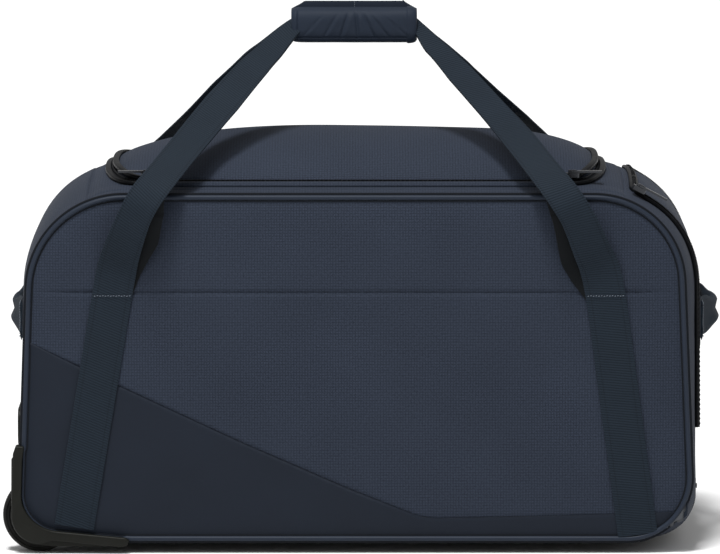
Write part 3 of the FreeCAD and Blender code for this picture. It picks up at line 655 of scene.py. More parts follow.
def coons(left, right, bottom, top):
    """Patch between four edges: the blend of left and right, plus that of bottom and top, less that of
    the four corners. Left and right run upward, bottom and top run from left to right."""
    v = np.linspace(0, 1, len(left))[:, None, None]
    u = np.linspace(0, 1, len(bottom))[None, :, None]
    flat = (1 - v) * bottom[None] + v * top[None] + (1 - u) * left[:, None] + u * right[:, None]
    return flat - ((1 - u) * (1 - v) * bottom[0] + u * (1 - v) * bottom[-1]
                   + (1 - u) * v * top[0] + u * v * top[-1])


def edge_run(q0, q1, count):
    """Stretch of the front edge, evenly spaced."""
    return resample(loop_at(FRONT_EDGE, np.linspace(q0, q1, 400)), count)


def edge_place(z, side):
    """Place on the front edge's left (-1) or right (1) side at a height."""
    lo, hi = (2 * SPAN + ARC, 3 * SPAN) if side > 0 else (5 * SPAN + ARC - SPAN, 5 * SPAN)
    q = np.linspace(lo, hi, 400)
    heights = loop_at(FRONT_EDGE, q)[:, 1]
    order = np.argsort(heights)
    return float(np.interp(z, heights[order], q[order]))


def build_faces(side, name):
    """Upper ripstop panel and lower smooth panel of one big face."""
    ql, qr = edge_place(seam_height(-0.3303), -1), edge_place(seam_height(0.3318), 1)
    left_end, right_end = loop_at(FRONT_EDGE, ql), loop_at(FRONT_EDGE, qr)
    columns = 300
    x = np.linspace(left_end[0], right_end[0], columns)
    seam = np.stack([x, seam_height(x)], 1)
    kernel = np.hanning(15) / np.hanning(15).sum()
    padded_z = np.pad(seam[:, 1], 7, mode="reflect", reflect_type="odd")
    seam[:, 1] = np.convolve(padded_z, kernel, mode="valid")
    seam[0], seam[-1] = left_end, right_end
    q_tr, q_tl = 3 * SPAN + ARC / 2, 4 * SPAN + ARC / 2
    q_bl, q_br = ARC / 2, 2 * SPAN + ARC / 2
    upper = coons(edge_run(ql, q_tl, 155), edge_run(qr, q_tr, 155), seam, edge_run(q_tl, q_tr, columns))
    lower = coons(edge_run(q_bl + 5 * SPAN, ql, 98), edge_run(q_br, qr, 98),
                  edge_run(q_bl, q_br, columns), seam)
    for label, flat, cloth, slot in (("panel", upper, RIPSTOP, "ripstop_cloth"),
                                     ("lower_panel", lower, SMOOTH, "smooth_cloth")):
        xx, zz = flat[..., 0], flat[..., 1]
        y = front_y(xx, zz) * -side
        if label == "lower_panel":
            y = y + side * 0.0006 * np.exp(-np.abs(zz - seam_height(xx)) / 0.004)
        points = np.stack([xx, y, zz], -1)
        obj = sheet(name + "_" + label + "_cloth", points, cloth, flat.copy(), CLOTH_WALL, LINING)
        attach(obj, "bag", slot, name + "_" + label)


def build_piping(side, name):
    """Corded edge all the way round, with a strip of painted shade behind it; both thin where the wheel guard
    covers them.
    """
    path = resample(np.vstack([FRONT_EDGE, FRONT_EDGE[:1]]), 900)[:-1]
    x, z = path[:, 0], path[:, 1]
    y = np.full(len(path), side * 0.1802)
    points = np.stack([x, y, z], 1)
    low = np.clip((0.106 - z) / 0.004, 0, 1) * np.clip((-0.2345 - x) / 0.004, 0, 1)
    face = np.tile([0.0, side, 0.0], (len(points), 1))
    cord = carried(name + "_piping_cord", points, face, round_profile(2.5 * MM, 16), PIPING, closed=True,
                   scale=1 - 0.55 * low)
    attach(cord, "bag", "piping_cloth", name + "_piping")
    # painted shade: a near-black strip just behind the cord, showing as dark lines on either side of it
    piping_shade_strip = carried(name + "_piping_painted_shade", points - [0, side * 0.0010, 0], face,
                     strap_profile(0.0096, 0.0020, 16, 0.5), PIPING_SHADE_CLOTH, closed=True, scale=1 - 0.45 * low)
    attach(piping_shade_strip, "bag", "smooth_cloth")


def gusset_sheet(name, q0, q1, rows, material, slot, seed, node=None, t0=-1.0, t1=1.0):
    """One stretch of the gusset from depth t0 to t1, rippled along its normals away from the edges."""
    q = np.linspace(q0, q1, rows)[:, None] * np.ones((1, 150))
    t = np.linspace(t0, t1, 150)[None] * np.ones((rows, 1))
    points = gusset(q, t)
    normal = sheet_normals(points)
    rise = 0.0007 * ripple(q * 0.012, t * 0.2, seed) * (1 - np.abs(t) ** 6)
    points = points + normal * rise[..., None]
    obj = sheet(name, points, material, cloth_uv(points), wall=0.0025, inner=LINING)
    return attach(obj, "bag", slot, *([node] if node else []))


def sheet_normals(points):
    """Outward normals of a grid of points."""
    du = np.gradient(points, axis=0)
    dv = np.gradient(points, axis=1)
    return unit(np.cross(dv, du)) * -1


# where the base, end and top cloths meet, in loop points
Q_BASE_LEFT = ARC + SIDE * 0.45
Q_BASE_RIGHT = 2 * SPAN - SIDE * 0.04
Q_TOP_RIGHT = 3 * SPAN + ARC * 0.74
Q_TOP_LEFT = 4 * SPAN + ARC * 0.26


CUP_TOP_Z = 0.0668      # opening in the right end for the pull handle's cup
CUP_HALF_Y = 0.1026


def build_gusset():
    """Base and end cloths. The right end leaves an opening round the pull handle's cup."""
    gusset_sheet("base_cloth_sheet", Q_BASE_LEFT, Q_BASE_RIGHT, 90, BASE_CLOTH, "base_cloth", 8, "base_panel")
    q = np.linspace(2 * SPAN, 3 * SPAN, 400)
    cup_top = float(np.interp(CUP_TOP_Z, loop_at(MIDDLE, q)[:, 1], q))
    end = (RIPSTOP, "ripstop_cloth")
    gusset_sheet("right_end_cloth", cup_top, Q_TOP_RIGHT, 160, *end, 4, "right_end_panel")
    cup_side = CUP_HALF_Y / HALF_DEPTH
    for which, t0, t1 in (("front", -1.0, -cup_side), ("rear", cup_side, 1.0)):
        gusset_sheet("right_end_cloth_low_" + which, Q_BASE_RIGHT, cup_top, 36, *end, 4, None, t0, t1)
    gusset_sheet("left_end_cloth", Q_TOP_LEFT, 5 * SPAN + Q_BASE_LEFT, 190, *end, 6, "left_end_panel")


COIL_PITCH = 1.6 * MM
POCKET_Y = 0.132
POCKET_LOW = 2 * SPAN + ARC + SIDE * 0.30
POCKET_TOP = 3 * SPAN + ARC * 0.68


def gusset_normal(q, t):
    """Outward direction of the gusset, from its slopes along the outline and across the depth."""
    along = gusset(q + 0.4, t) - gusset(q - 0.4, t)
    across = gusset(q, np.clip(t + 0.01, -1, 1)) - gusset(q, np.clip(t - 0.01, -1, 1))
    return unit(np.cross(across, along))


def pocket_rise(f, g):
    """Height of the end pocket over the end cloth, rising from its rim by 1 - exp(-distance): f runs up
    it and g across it, from -1 to 1."""
    rim = np.minimum(1 - np.abs(f), (1 - np.abs(g)) * 1.1)
    return 0.0010 + 0.0016 * (1 - np.exp(-rim / 0.10))


def coil_wave(line):
    """Thick and thin of a zip's coil along its line: 1 + 0.22 sin of a turn to each pitch."""
    return 1 + 0.22 * np.sin(arc_lengths(line) / COIL_PITCH * 2 * math.pi)


def build_pocket():
    """Pocket over the upper part of the end, with its zip round the front, top and rear."""
    rows, columns = 170, 150
    f = np.linspace(-1, 1, rows)[:, None] * np.ones((1, columns))
    g = np.linspace(-1, 1, columns)[None] * np.ones((rows, 1))
    q = POCKET_LOW + (POCKET_TOP - POCKET_LOW) * (f + 1) / 2
    t = g * (POCKET_Y - 0.004) / HALF_DEPTH
    rise = pocket_rise(f, g) + 0.0006 * ripple(q * 0.02, t * 0.3, 31)
    points = gusset(q, t) + gusset_normal(q, t) * rise[..., None]
    obj = sheet("end_pocket_cloth", points, RIPSTOP, cloth_uv(points), wall=0.002, inner=LINING)
    attach(obj, "bag", "ripstop_cloth", "end_pocket_panel")
    corner = np.linspace(0, math.pi / 2, 12)
    tw, r = POCKET_Y / HALF_DEPTH, 0.10
    qr = (POCKET_TOP - POCKET_LOW) * 0.07
    up_q, up_t = np.linspace(POCKET_LOW, POCKET_TOP - qr, 160), np.full(160, -tw)
    arc_q, arc_t = POCKET_TOP - qr + qr * np.sin(corner), -tw + r * (1 - np.cos(corner))
    top_q, top_t = np.full(60, float(POCKET_TOP)), np.linspace(-tw + r, tw - r, 60)
    line_q = np.concatenate([up_q, arc_q, top_q, arc_q[::-1], up_q[::-1]])
    line_t = np.concatenate([up_t, arc_t, top_t, -arc_t[::-1], -up_t])
    normal = gusset_normal(line_q, line_t)
    line = gusset(line_q, line_t) + normal * 0.0018
    both = resample(np.hstack([line, normal]), 700)
    profile = strap_profile(0.0095, 0.0036, 20, 0.45)
    band = carried("end_pocket_zip_band", both[:, :3], both[:, 3:], profile, ZIP)
    attach(band, "bag", "zip_tape", "end_pocket_zipper")
    fine = resample(np.hstack([line + normal * 0.0016, normal]), 2400)
    coil = carried("end_pocket_coil", fine[:, :3], fine[:, 3:], round_profile(0.0017, 8), ZIP,
                   scale=coil_wave(fine[:, :3]))
    attach(coil, "bag", "zip_tape")


# ---------------------------------------------------------------- lid and its opening
LID_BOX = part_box("lid_panel")
LID_X0, LID_X1 = LID_BOX[0].x - 0.002, LID_BOX[1].x - 0.002
LID_Y = LID_BOX[1].y
LID_BOW = 0.034


def lid_end(v):
    """How far the lid's ends fall back towards its corners, by 1 - (1 - v^2.6)^(1/2.6): v is 0 in the
    middle and 1 at the sides."""
    return LID_BOW * (1 - (1 - np.clip(np.abs(v), 0, 1) ** 2.6) ** (1 / 2.6))


def lid_loop(grow):
    """Plan outline of the lid grown by a distance: anticlockwise from the rear left, its rear side last."""
    y, x0, x1 = LID_Y + grow, LID_X0 - grow, LID_X1 + grow
    turn = np.linspace(-math.pi / 2, math.pi / 2, 90)
    v = np.sin(turn)
    left = np.stack([x0 + lid_end(v), -v * y], 1)
    right = np.stack([x1 - lid_end(v), v * y], 1)
    t = np.linspace(0, 1, 122)[1:-1, None]
    front = left[-1] * (1 - t) + right[0] * t
    rear = right[-1] * (1 - t) + left[0] * t
    return np.vstack([left, front, right, rear])


def dome(x, y):
    """Height of the lid over the top of the bag: full in the middle, falling away at both ends."""
    left = np.clip(np.abs(x / LID_X0), 0, 1) ** 3.2
    right = np.clip(np.abs(x / LID_X1), 0, 1) ** 4.2
    along = np.where(x < 0, (1 - left) ** 0.80, (1 - right) ** 0.70)
    across = 1 - np.clip(np.abs(y / LID_Y), 0, 1) ** 2
    return 0.0352 * along * across ** 0.9


def lid_height(x, y):
    """The lid's surface: the top of the bag, the dome over it and a slow sag."""
    sag = 0.0012 * ripple(x, y, 11) * np.clip(dome(x, y) / 0.01, 0, 1)
    return top_height(x, y) + 0.0022 + dome(x, y) + sag


TOP_HALF_X = 0.279      # from the lid's middle to the seams at the shoulders


def build_top():
    """Ring of cloth round the lid's opening, out to the front, rear and end seams, with a groove and a
    soft fold along the front and the rear."""
    inner = lid_loop(0.001)
    x_in, y_in = inner[:, 0], inner[:, 1]
    cx = (LID_X0 + LID_X1) / 2
    half_x, half_y = abs(LID_X1 - LID_X0) / 2 + 0.001, LID_Y + 0.001
    scale = np.maximum(np.abs(x_in - cx) / half_x, np.abs(y_in) / half_y)
    outer_x = cx + (x_in - cx) / scale * (TOP_HALF_X / half_x)
    outer_y = y_in / scale * (HALF_DEPTH / half_y)
    f = np.linspace(0, 1, 26)[:, None]
    x = x_in[None] * (1 - f) + outer_x[None] * f
    y = y_in[None] * (1 - f) + outer_y[None] * f
    z = top_height(x, y)
    z = z - 0.0012 * np.clip((np.abs(x) - 0.262) / 0.006, 0, 1)
    strip = (np.abs(y) - LID_Y) / (HALF_DEPTH - LID_Y)
    z = z + 0.0011 * np.clip(np.sin(np.clip(strip, 0, 1) * math.pi), 0, 1)
    groove = np.exp(-((strip - 0.52) / 0.05) ** 2) * (np.abs(y) > LID_Y)
    z = z - 0.0009 * groove
    points = np.stack([x, y, z], -1)
    points = np.concatenate([points, points[:, :1]], 1)
    obj = sheet("top_cloth_ring", points, RIPSTOP, points[..., :2].copy(), CLOTH_WALL, LINING)
    attach(obj, "bag", "ripstop_cloth", "top_panel")


def flap_reach(x):
    """How far the rain flap along the front and rear covers the zip: nothing at the ends."""
    t = np.clip((0.212 - np.abs(x + 0.003)) / 0.034, 0, 1)
    return 0.0135 * t * t * (3 - 2 * t)


def build_lid():
    """Domed lid cloth: rows across the plan, each from one end to the other, with a flap over the zip."""
    rows, columns = 150, 240
    v = np.sin(np.linspace(-math.pi / 2, math.pi / 2, rows))
    y = v * LID_Y
    inset = lid_end(v)
    u = np.linspace(-1, 1, columns)
    u = np.sign(u) * (1 - (1 - np.abs(u)) ** 1.35)
    x0, x1 = LID_X0 + inset, LID_X1 - inset
    x = (x0[:, None] + x1[:, None]) / 2 + (x1 - x0)[:, None] / 2 * u[None]
    yy = np.broadcast_to(y[:, None], x.shape)
    z = lid_height(x, yy)
    edge = np.minimum(LID_Y - np.abs(yy), np.minimum(x - x0[:, None], x1[:, None] - x))
    z = z - 0.0016 * np.exp(-(edge / 0.003)) * (flap_reach(x) < 0.001)
    z = z - 0.0008 * np.exp(-((LID_Y - np.abs(yy) - 0.004) / 0.0016) ** 2)
    f = np.linspace(0, 1, 14)[1:, None]
    flaps = []
    for row, sign in ((-1, 1), (0, -1)):
        fx = np.broadcast_to(x[row][None], (13, columns))
        fy = yy[row][None] + sign * flap_reach(fx) * f
        bed = top_height(fx, fy) + 0.0050
        hem = 0.0034 * f ** 7 * np.clip(flap_reach(fx) / 0.01, 0, 1)
        fz = bed + (z[row][None] - bed) * np.exp(-f * 3) - hem
        fz = np.where(flap_reach(fx) < 0.0004, z[row][None] - 0.0002 * f, fz)
        flaps.append((fx, fy, fz))
    (ax, ay, az), (bx, by, bz) = flaps
    x, yy, z = (np.concatenate([b[::-1], m, a]) for a, m, b in ((ax, x, bx), (ay, yy, by), (az, z, bz)))
    points = np.stack([x, yy, z], -1)
    uv = np.stack([x, arc_lengths(points)], -1)
    obj = sheet("lid_cloth", points, RIPSTOP, uv, wall=0.0018, inner=LINING)
    attach(obj, "lid", "ripstop_cloth", "lid_panel")


def zip_line(grow, lift, count, surface):
    """The zip's line in space: along the plan outline, open along the rear side."""
    path = resample(lid_loop(grow)[:-120], count)
    return np.stack([path[:, 0], path[:, 1], surface(path[:, 0], path[:, 1]) + lift], 1)


def build_zips():
    """Tape and coil on the bag and a tape on the lid, sunk where the rain flap covers them."""
    up = np.array([0, 0, 1.0])
    bag_line = zip_line(0.0042, 0.0024, 500, top_height)
    bag_line[:, 2] -= 0.16 * flap_reach(bag_line[:, 0]) * (np.abs(bag_line[:, 1]) > LID_Y * 0.98)
    tape = carried("bag_zip_band", bag_line, up, strap_profile(0.0078, 0.0040, 20, 0.45), ZIP)
    attach(tape, "bag", "zip_tape", "bag_zipper_tape")
    coil_line = zip_line(0.0006, 0.0030, 1500, top_height)
    coil = carried("zip_coil", coil_line, up, round_profile(0.0021, 8), ZIP,
                   scale=coil_wave(coil_line))
    attach(coil, "bag", "zip_tape")
    lid_line = zip_line(-0.0026, 0.0030, 500, lid_height)
    lid_line[:, 2] -= 0.80 * flap_reach(lid_line[:, 0]) * (np.abs(lid_line[:, 1]) > LID_Y * 0.94)
    roll = carried("lid_zip_band", lid_line, up, strap_profile(0.0066, 0.0042, 20, 0.5), ZIP)
    attach(roll, "lid", "zip_tape", "lid_zipper_tape")


# ---------------------------------------------------------------- webbing and handles
GRIP_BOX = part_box("front_grip_wrap")
GX0, GX1 = GRIP_BOX[0].x, GRIP_BOX[1].x
GZ0, GZ1 = GRIP_BOX[0].z - 0.0015, GRIP_BOX[1].z + 0.0035
TACK_Z = 0.262
STRAP_WIDTH = 0.040
STRAP_WALL = 0.0024
# each run in millimetres: (x, y, z) of the free part, then the way its face looks (y, z)
RUNS = {"left": [(-243.5, -189.0, 284, -1.0, 0.00), (-237, -198.0, 308, -1.0, 0.02),
                 (-226, -208.0, 338, -1.0, 0.05), (-214, -209.0, 361, -0.9, 0.40),
                 (-197, -191.0, 382, -0.7, 0.70), (-166, -128, 416, -0.607, 0.795),
                 (-139, -92, 446, -0.607, 0.795), (-107, -55, 480, -0.607, 0.795),
                 (-91.5, -36, 494, -0.62, 0.78), (-72.5, -18, 512, -0.70, 0.70),
                 (-58, -10, 522, -0.8, 0.6), (-44, -8, 528, -0.9, 0.4)],
        "right": [(240.5, -189.0, 284, -1.0, 0.00), (231, -198.0, 308, -1.0, 0.02),
                  (218, -208.0, 338, -1.0, 0.05), (204, -209.0, 361, -0.9, 0.40),
                  (187, -191.0, 382, -0.7, 0.70), (159, -128, 413, -0.607, 0.795),
                  (135, -94, 438, -0.607, 0.795), (102, -54, 472, -0.607, 0.795),
                  (84, -36, 490, -0.62, 0.78), (73, -26, 500, -0.70, 0.70),
                  (60, -12, 515, -0.8, 0.6), (48, -8, 526, -0.9, 0.4)]}
# how wide each strap shows at a height in metres: it folds over itself towards the sleeve
STRAP_WIDTHS = {"left": ([0.285, 0.345, 0.41, 0.446, 0.480, 0.494, 0.512, 0.526],
                         [1.0, 0.84, 0.90, 0.94, 0.82, 0.70, 0.50, 0.36]),
                "right": ([0.285, 0.345, 0.41, 0.439, 0.472, 0.498, 0.515, 0.526],
                          [1.0, 0.84, 0.86, 0.76, 0.72, 0.52, 0.30, 0.24])}
STRAP_FEET = {"left": (-286.5, 27.0), "right": (278.5, 19.0)}
STRAP_TOPS = {"left": -247.5, "right": 245.5}
# how far the painted shadow of each strap, a near-black strip, shows inboard of it at a height: metres, then
# millimetres
PAINTED_SHADOW_REACH = {"left": ([0.264, 0.285, 0.305, 0.320, 0.345, 0.366], [0, 4, 10, 15, 11, 0]),
              "right": ([0.264, 0.285, 0.298, 0.322, 0.348, 0.368], [0, 12, 16, 12, 7, 0])}


def build_painted_strap_shadow(side, name, which, path):
    """Painted shadow of the strap on the panel, as a near-black strip between its bar tack and the bend at
    the top
    of the panel: the strap's own line, shifted inboard and back but kept in front of the panel."""
    path = path[(path[:, 2] > 0.2655) & (path[:, 2] < 0.366)]
    shift = np.interp(path[:, 2], *PAINTED_SHADOW_REACH[which]) * MM
    x = path[:, 0] - np.sign(path[:, 0]) * shift
    y = np.minimum(path[:, 1] + 0.0022 + 0.35 * shift, front_y(x, path[:, 2]) - 0.0014) * -side
    face = np.stack([0 * x, path[:, 3] * -side, path[:, 4]], 1)
    width = np.interp(path[:, 2], *STRAP_WIDTHS[which]) * 0.99
    obj = carried(f"{name}_{which}_painted_shadow", np.stack([x, y, path[:, 2]], 1), face,
                  strap_profile(STRAP_WIDTH, 0.0014), STRAP_SHADOW_CLOTH,
                  scale=np.stack([width, 0 * width + 1], 1))
    bend_with_handle(obj)


def bend_with_handle(obj):
    """Webbing that is sewn to the bag below and meets the handle above: its placement is baked into its mesh.
    """
    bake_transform(obj)


def strap_path(which):
    """Sewn part up the panel, then the free part to the sleeve; returns points and facing."""
    foot_x, foot_z = np.array(STRAP_FEET[which]) * MM
    top_x = STRAP_TOPS[which] * MM
    z = np.linspace(foot_z, TACK_Z + 0.004, 40)
    bend = (z - foot_z) / (TACK_Z - foot_z)
    x = foot_x + (top_x - foot_x) * bend
    y = front_y(x, z) - 0.0016
    sewn = np.stack([x, y, z, -np.ones(40), np.zeros(40)], 1)
    free = np.array(RUNS[which], float)
    free[:, :3] *= MM
    whole = np.vstack([sewn[::6], free])
    return cubic_path(whole, 420)


def build_straps(side, name):
    """Two straps of one side: webbing carried along each strap's path, mirrored for the rear, where it
    leans in a little more."""
    for which in ("left", "right"):
        path = strap_path(which)
        if side > 0:
            lean = np.clip((path[:, 2] - 0.32) / 0.06, 0, 1) * np.clip((0.525 - path[:, 2]) / 0.06, 0, 1)
            path[:, 0] -= np.sign(path[:, 0]) * 0.004 * lean
        points = path[:, :3] * [1, -side, 1]
        face = np.stack([0 * path[:, 3], path[:, 3] * -side, path[:, 4]], 1)
        narrow = np.interp(points[:, 2], *STRAP_WIDTHS[which])
        narrow = np.stack([narrow, 1 + 0.9 * np.clip((points[:, 2] - 0.47) / 0.05, 0, 1)], 1)
        profile = strap_profile(STRAP_WIDTH, STRAP_WALL)
        obj = carried(name + "_" + which + "_webbing", points, face, profile, WEBBING, scale=narrow)
        bend_with_handle(obj)
        nodes = [name + "_strap_" + which]
        if which == "left":
            nodes.append(name + "_handle")
        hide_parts(*nodes)
        # painted shadow of the strap on the panel, as a near-black strip
        build_painted_strap_shadow(side, name, which, path)
        build_tack(side, name, which)


def build_tack(side, name, which):
    """Bar tack: a row of short light stitches across the strap."""
    count = 14
    x = STRAP_TOPS[which] * MM + np.linspace(-0.0175, 0.0175, count)
    z = TACK_Z - 0.0015 + 0.0003 * (np.arange(count) % 2)
    y = front_y(x, z) - 0.0042
    middle = np.stack([x, y * -side, z], 1)
    stitches(f"{name}_{which}_bar_tack", middle, (1.0, 0.0, 0.25), (0.0, side, 0.0), "bag", "webbing")


# wrinkles of the sleeve: where each crosses the middle, its lean, depth and half length, in metres
CREASES = [(-0.030, 0.55, 0.0009, 0.010), (-0.016, 0.30, 0.0014, 0.012), (-0.003, -0.10, 0.0016, 0.013),
           (0.009, -0.45, 0.0014, 0.012), (0.020, -0.80, 0.0009, 0.011), (0.036, -1.1, 0.0006, 0.009),
           (-0.048, 0.9, 0.0006, 0.009)]


def half_sleeve(side, name):
    """Front or rear half of the padded sleeve: a half-round section carried along the grip, drawn in at
    its ends, chamfered at the top corners, bound at the right end, hemmed below and creased."""
    count, around = 190, 72
    u = np.linspace(0, 1, count)
    x = GX0 + (GX1 - GX0) * u
    turn = np.linspace(-math.pi / 2, math.pi / 2, around)
    end = np.minimum(u, 1 - u) * (GX1 - GX0)
    shrink = 1 - 0.16 * np.exp(-end / 0.0028)
    tab = np.clip((x - (GX1 - 0.0105)) / 0.0008, 0, 1)
    grow = 0.0010 * tab * np.clip(end / 0.001, 0, 1)
    top = GZ1 - 0.0058 * (side < 0)
    rz = (top - GZ0) / 2 * shrink + grow
    ry = 0.0195 * shrink + grow
    zc = (GZ0 + top) / 2
    sn, cs = np.sin(turn)[None], np.cos(turn)[None]
    zz = zc + rz[:, None] * np.sign(sn) * np.abs(sn) ** 0.62
    hem = 0.0013 * np.exp(-((zz - GZ0 - 0.0058) / 0.0008) ** 2) * (sn < 0)
    seam = 0.0010 * np.exp(-((x - GX0 - 0.0062) / 0.0007) ** 2)[:, None]
    out = ry[:, None] * np.abs(cs) ** 0.62 - hem * (1 - tab[:, None]) - seam
    for middle, lean, depth, half in CREASES:
        gap = x[:, None] - middle - lean * (zz - zc)
        reach = np.exp(-((zz - zc + 0.001) / half) ** 4)
        fold = np.exp(-(gap / 0.0016) ** 2) - 0.5 * np.exp(-((gap - 0.004) / 0.003) ** 2)
        out = out - depth * fold * reach
    out = out + 0.0006 * ripple(x[:, None] * 3, zz * 3, 21)
    chamfer = (0.0150 if side > 0 else 0.0020) * np.clip((zz - GZ1 + 0.0085) / 0.0085, 0, 1)
    xx = x[:, None] - np.sign(u - 0.5)[:, None] * chamfer * np.abs(2 * u - 1)[:, None] ** 7
    front = np.stack([xx, -0.0003 - np.maximum(out, 0), zz], -1)
    flat_z = zz[:, ::-1][:, 1:-1]
    back = np.stack([xx[:, ::-1][:, 1:-1], np.full(flat_z.shape, -0.0003), flat_z], -1)
    rings = np.concatenate([front, back], 1)
    rings[..., 1] *= -side
    n = rings.shape[1]
    faces = grid_faces(count, n, wrap_columns=True).tolist()
    points = rings.reshape(-1, 3)
    middles = np.stack([rings[0].mean(0), rings[-1].mean(0)])
    points = np.vstack([points, middles])
    faces += fans(count, n)
    girth = np.broadcast_to(arc_lengths(np.swapaxes(rings, 0, 1))[:, 0][None], rings.shape[:2])
    uv = np.stack([xx[:, :1] + 0 * rings[..., 0], girth], -1).reshape(-1, 2)
    uv = np.vstack([uv, uv[:2]])
    obj = piece(name + "_sleeve_half", points, faces, SLEEVE, uv, 50.0)
    attach(obj, name + "_handle", "sleeve_cloth", name + "_grip_wrap")
    if side > 0:
        z = GZ1 - np.linspace(0.0014, 0.0056, 3)
        middle = np.stack([np.full(3, -0.0055), np.zeros(3), z], 1)
        stitches("sleeve_stitch_row", middle, (0, 0, 1.0), (0, -1.0, 0),
                 name + "_handle", "sleeve_cloth", 0.0008)


def stitches(name, middle, along, up, body, slot, half=0.00085):
    """Short tapered stitches centred on the given places, all in one mesh: four rings of six points
    each, thin at both ends."""
    along = unit(np.asarray(along, float) * np.ones(middle.shape))[:, None, None]
    up = unit(np.asarray(up, float) * np.ones(middle.shape))[:, None, None]
    across = np.cross(along, up)
    turn = np.linspace(0, 2 * math.pi, 6, endpoint=False)[None, None, :, None]
    place = np.array([-1.0, -0.6, 0.6, 1.0])[None, :, None, None] * half
    girth = np.array([0.15, 1.0, 1.0, 0.15])[None, :, None, None] * 0.00034
    points = middle[:, None, None] + along * place + (across * np.cos(turn) + up * np.sin(turn)) * girth
    one = grid_faces(4, 6, wrap_columns=True)
    faces = (one[None] + (np.arange(len(middle)) * 24)[:, None, None]).reshape(-1, 4)
    obj = piece(name, points.reshape(-1, 3), faces, THREAD)
    return attach(obj, body, slot)


def build_grab(which, sign):
    """End grab handle: a webbing arch in two halves, folded together in the middle into a thicker,
    two-lobed grip; each half runs out from its sewn end."""
    low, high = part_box(which + "_grab_handle")
    zc = (low.z + high.z) / 2
    row = 2 * SPAN + ARC + SIDE * 0.6 if sign > 0 else 5 * SPAN - SIDE * 0.45
    base = abs(gusset(np.array([row]), np.array([0.0]))[0, 0])
    base = base + (0.0058 if sign > 0 else 0.0022)
    reach = 0.3602 if sign > 0 else 0.3500
    lobed = strap_profile(STRAP_WIDTH, 0.0030, 60)
    lobed[:, 1] *= (1 - (lobed[:, 0] / 0.0215) ** 4) * (1 - 0.55 * np.exp(-(lobed[:, 0] / 0.0035) ** 2))
    for half in (-1, 1):
        y = np.array([106, 92, 78, 66, 50, 30, 12, 0.2]) * MM * half
        out = np.array([0.0, 0.0004, 0.0010, 0.10, 0.50, 0.86, 0.99, 1.0])
        x = base + (reach - base) * out
        z = zc + np.array([0, 0, 0, 0.4, 1.2, 2.0, 2.6, 2.8]) * MM
        path = cubic_path(np.stack([x * sign, y, z], 1), 110)
        fold = np.clip((0.060 - np.abs(path[:, 1])) / 0.030, 0, 1)
        fold = fold * fold * (3 - 2 * fold)
        face = np.stack([np.full(110, sign * 1.0), 0 * fold, 0.10 * fold], 1)
        size = np.stack([1 - 0.30 * fold, 1 + 3.2 * fold], 1)
        name = f"{which}_grab_strap_{'rear' if half > 0 else 'front'}"
        obj = carried(name, path, face, lobed, WEBBING, scale=size)
        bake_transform(obj)
        if half > 0:
            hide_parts(which + "_grab_handle")
    build_patch(which, sign, base, zc)


def build_patch(which, sign, base, zc):
    """Cross-stitched square that holds each end of the grab handle: flat, its rim pressed down."""
    node = which + "_handle_patches"
    for half in (-1, 1):
        y = half * 0.084 + np.linspace(-1, 1, 40)[None] * 0.026 * np.ones((40, 1))
        z = zc + np.linspace(-1, 1, 40)[:, None] * 0.026 * np.ones((1, 40))
        rim = np.minimum(0.026 - np.abs(z - zc), 0.026 - np.abs(y - half * 0.084))
        x = base - 0.0012 - 0.0008 * np.exp(-rim / 0.0012)
        points = np.stack([x * sign, y, z], -1)
        uv = np.stack([y, z], -1)
        label = "rear" if half > 0 else "front"
        obj = sheet(f"{which}_grab_patch_{label}", points, SMOOTH, uv, wall=0.0014)
        attach(obj, "bag", "smooth_cloth", node)
        t = np.linspace(-0.017, 0.017, 13)
        box_y = np.concatenate([t, t, 0 * t - 0.018, 0 * t + 0.018, t, t])
        box_z = np.concatenate([0 * t - 0.018, 0 * t + 0.018, t, t, t, -t])
        thread_x = np.full(len(box_y), (base + 0.0017) * sign)
        middle = np.stack([thread_x, half * 0.090 + box_y * 0.72, zc + box_z * 0.95], 1)
        along = np.concatenate([np.tile([0, 1.0, 0], (26, 1)), np.tile([0, 0, 1.0], (26, 1)),
                                np.tile([0, 0.72, 0.95], (13, 1)), np.tile([0, 0.72, -0.95], (13, 1))])
        stitches(f"{which}_grab_stitch_{label}", middle, along, (sign, 0, 0), "bag", "webbing")


# ---------------------------------------------------------------- wheels and moulded parts
def plate(name, outline, levels, material):
    """A moulded plate: an outline in the XZ plane, stepped inward and along Y by levels of
    (inset, y), and closed with a flat face at each end."""
    tangent = unit(np.roll(outline, -2, 0) - np.roll(outline, 2, 0))
    inward = np.stack([-tangent[:, 1], tangent[:, 0]], 1)
    rings = []
    for inset, y in levels:
        flat = outline + inward * inset
        rings.append(np.stack([flat[:, 0], np.full(len(flat), y), flat[:, 1]], 1))
    points = np.stack(rings)
    rows, columns = points.shape[:2]
    faces = grid_faces(rows, columns, wrap_columns=True).tolist()
    faces.append(list(range(columns))[::-1])
    faces.append(list(range((rows - 1) * columns, rows * columns)))
    return piece(name, points, faces, material, None, 40.0)


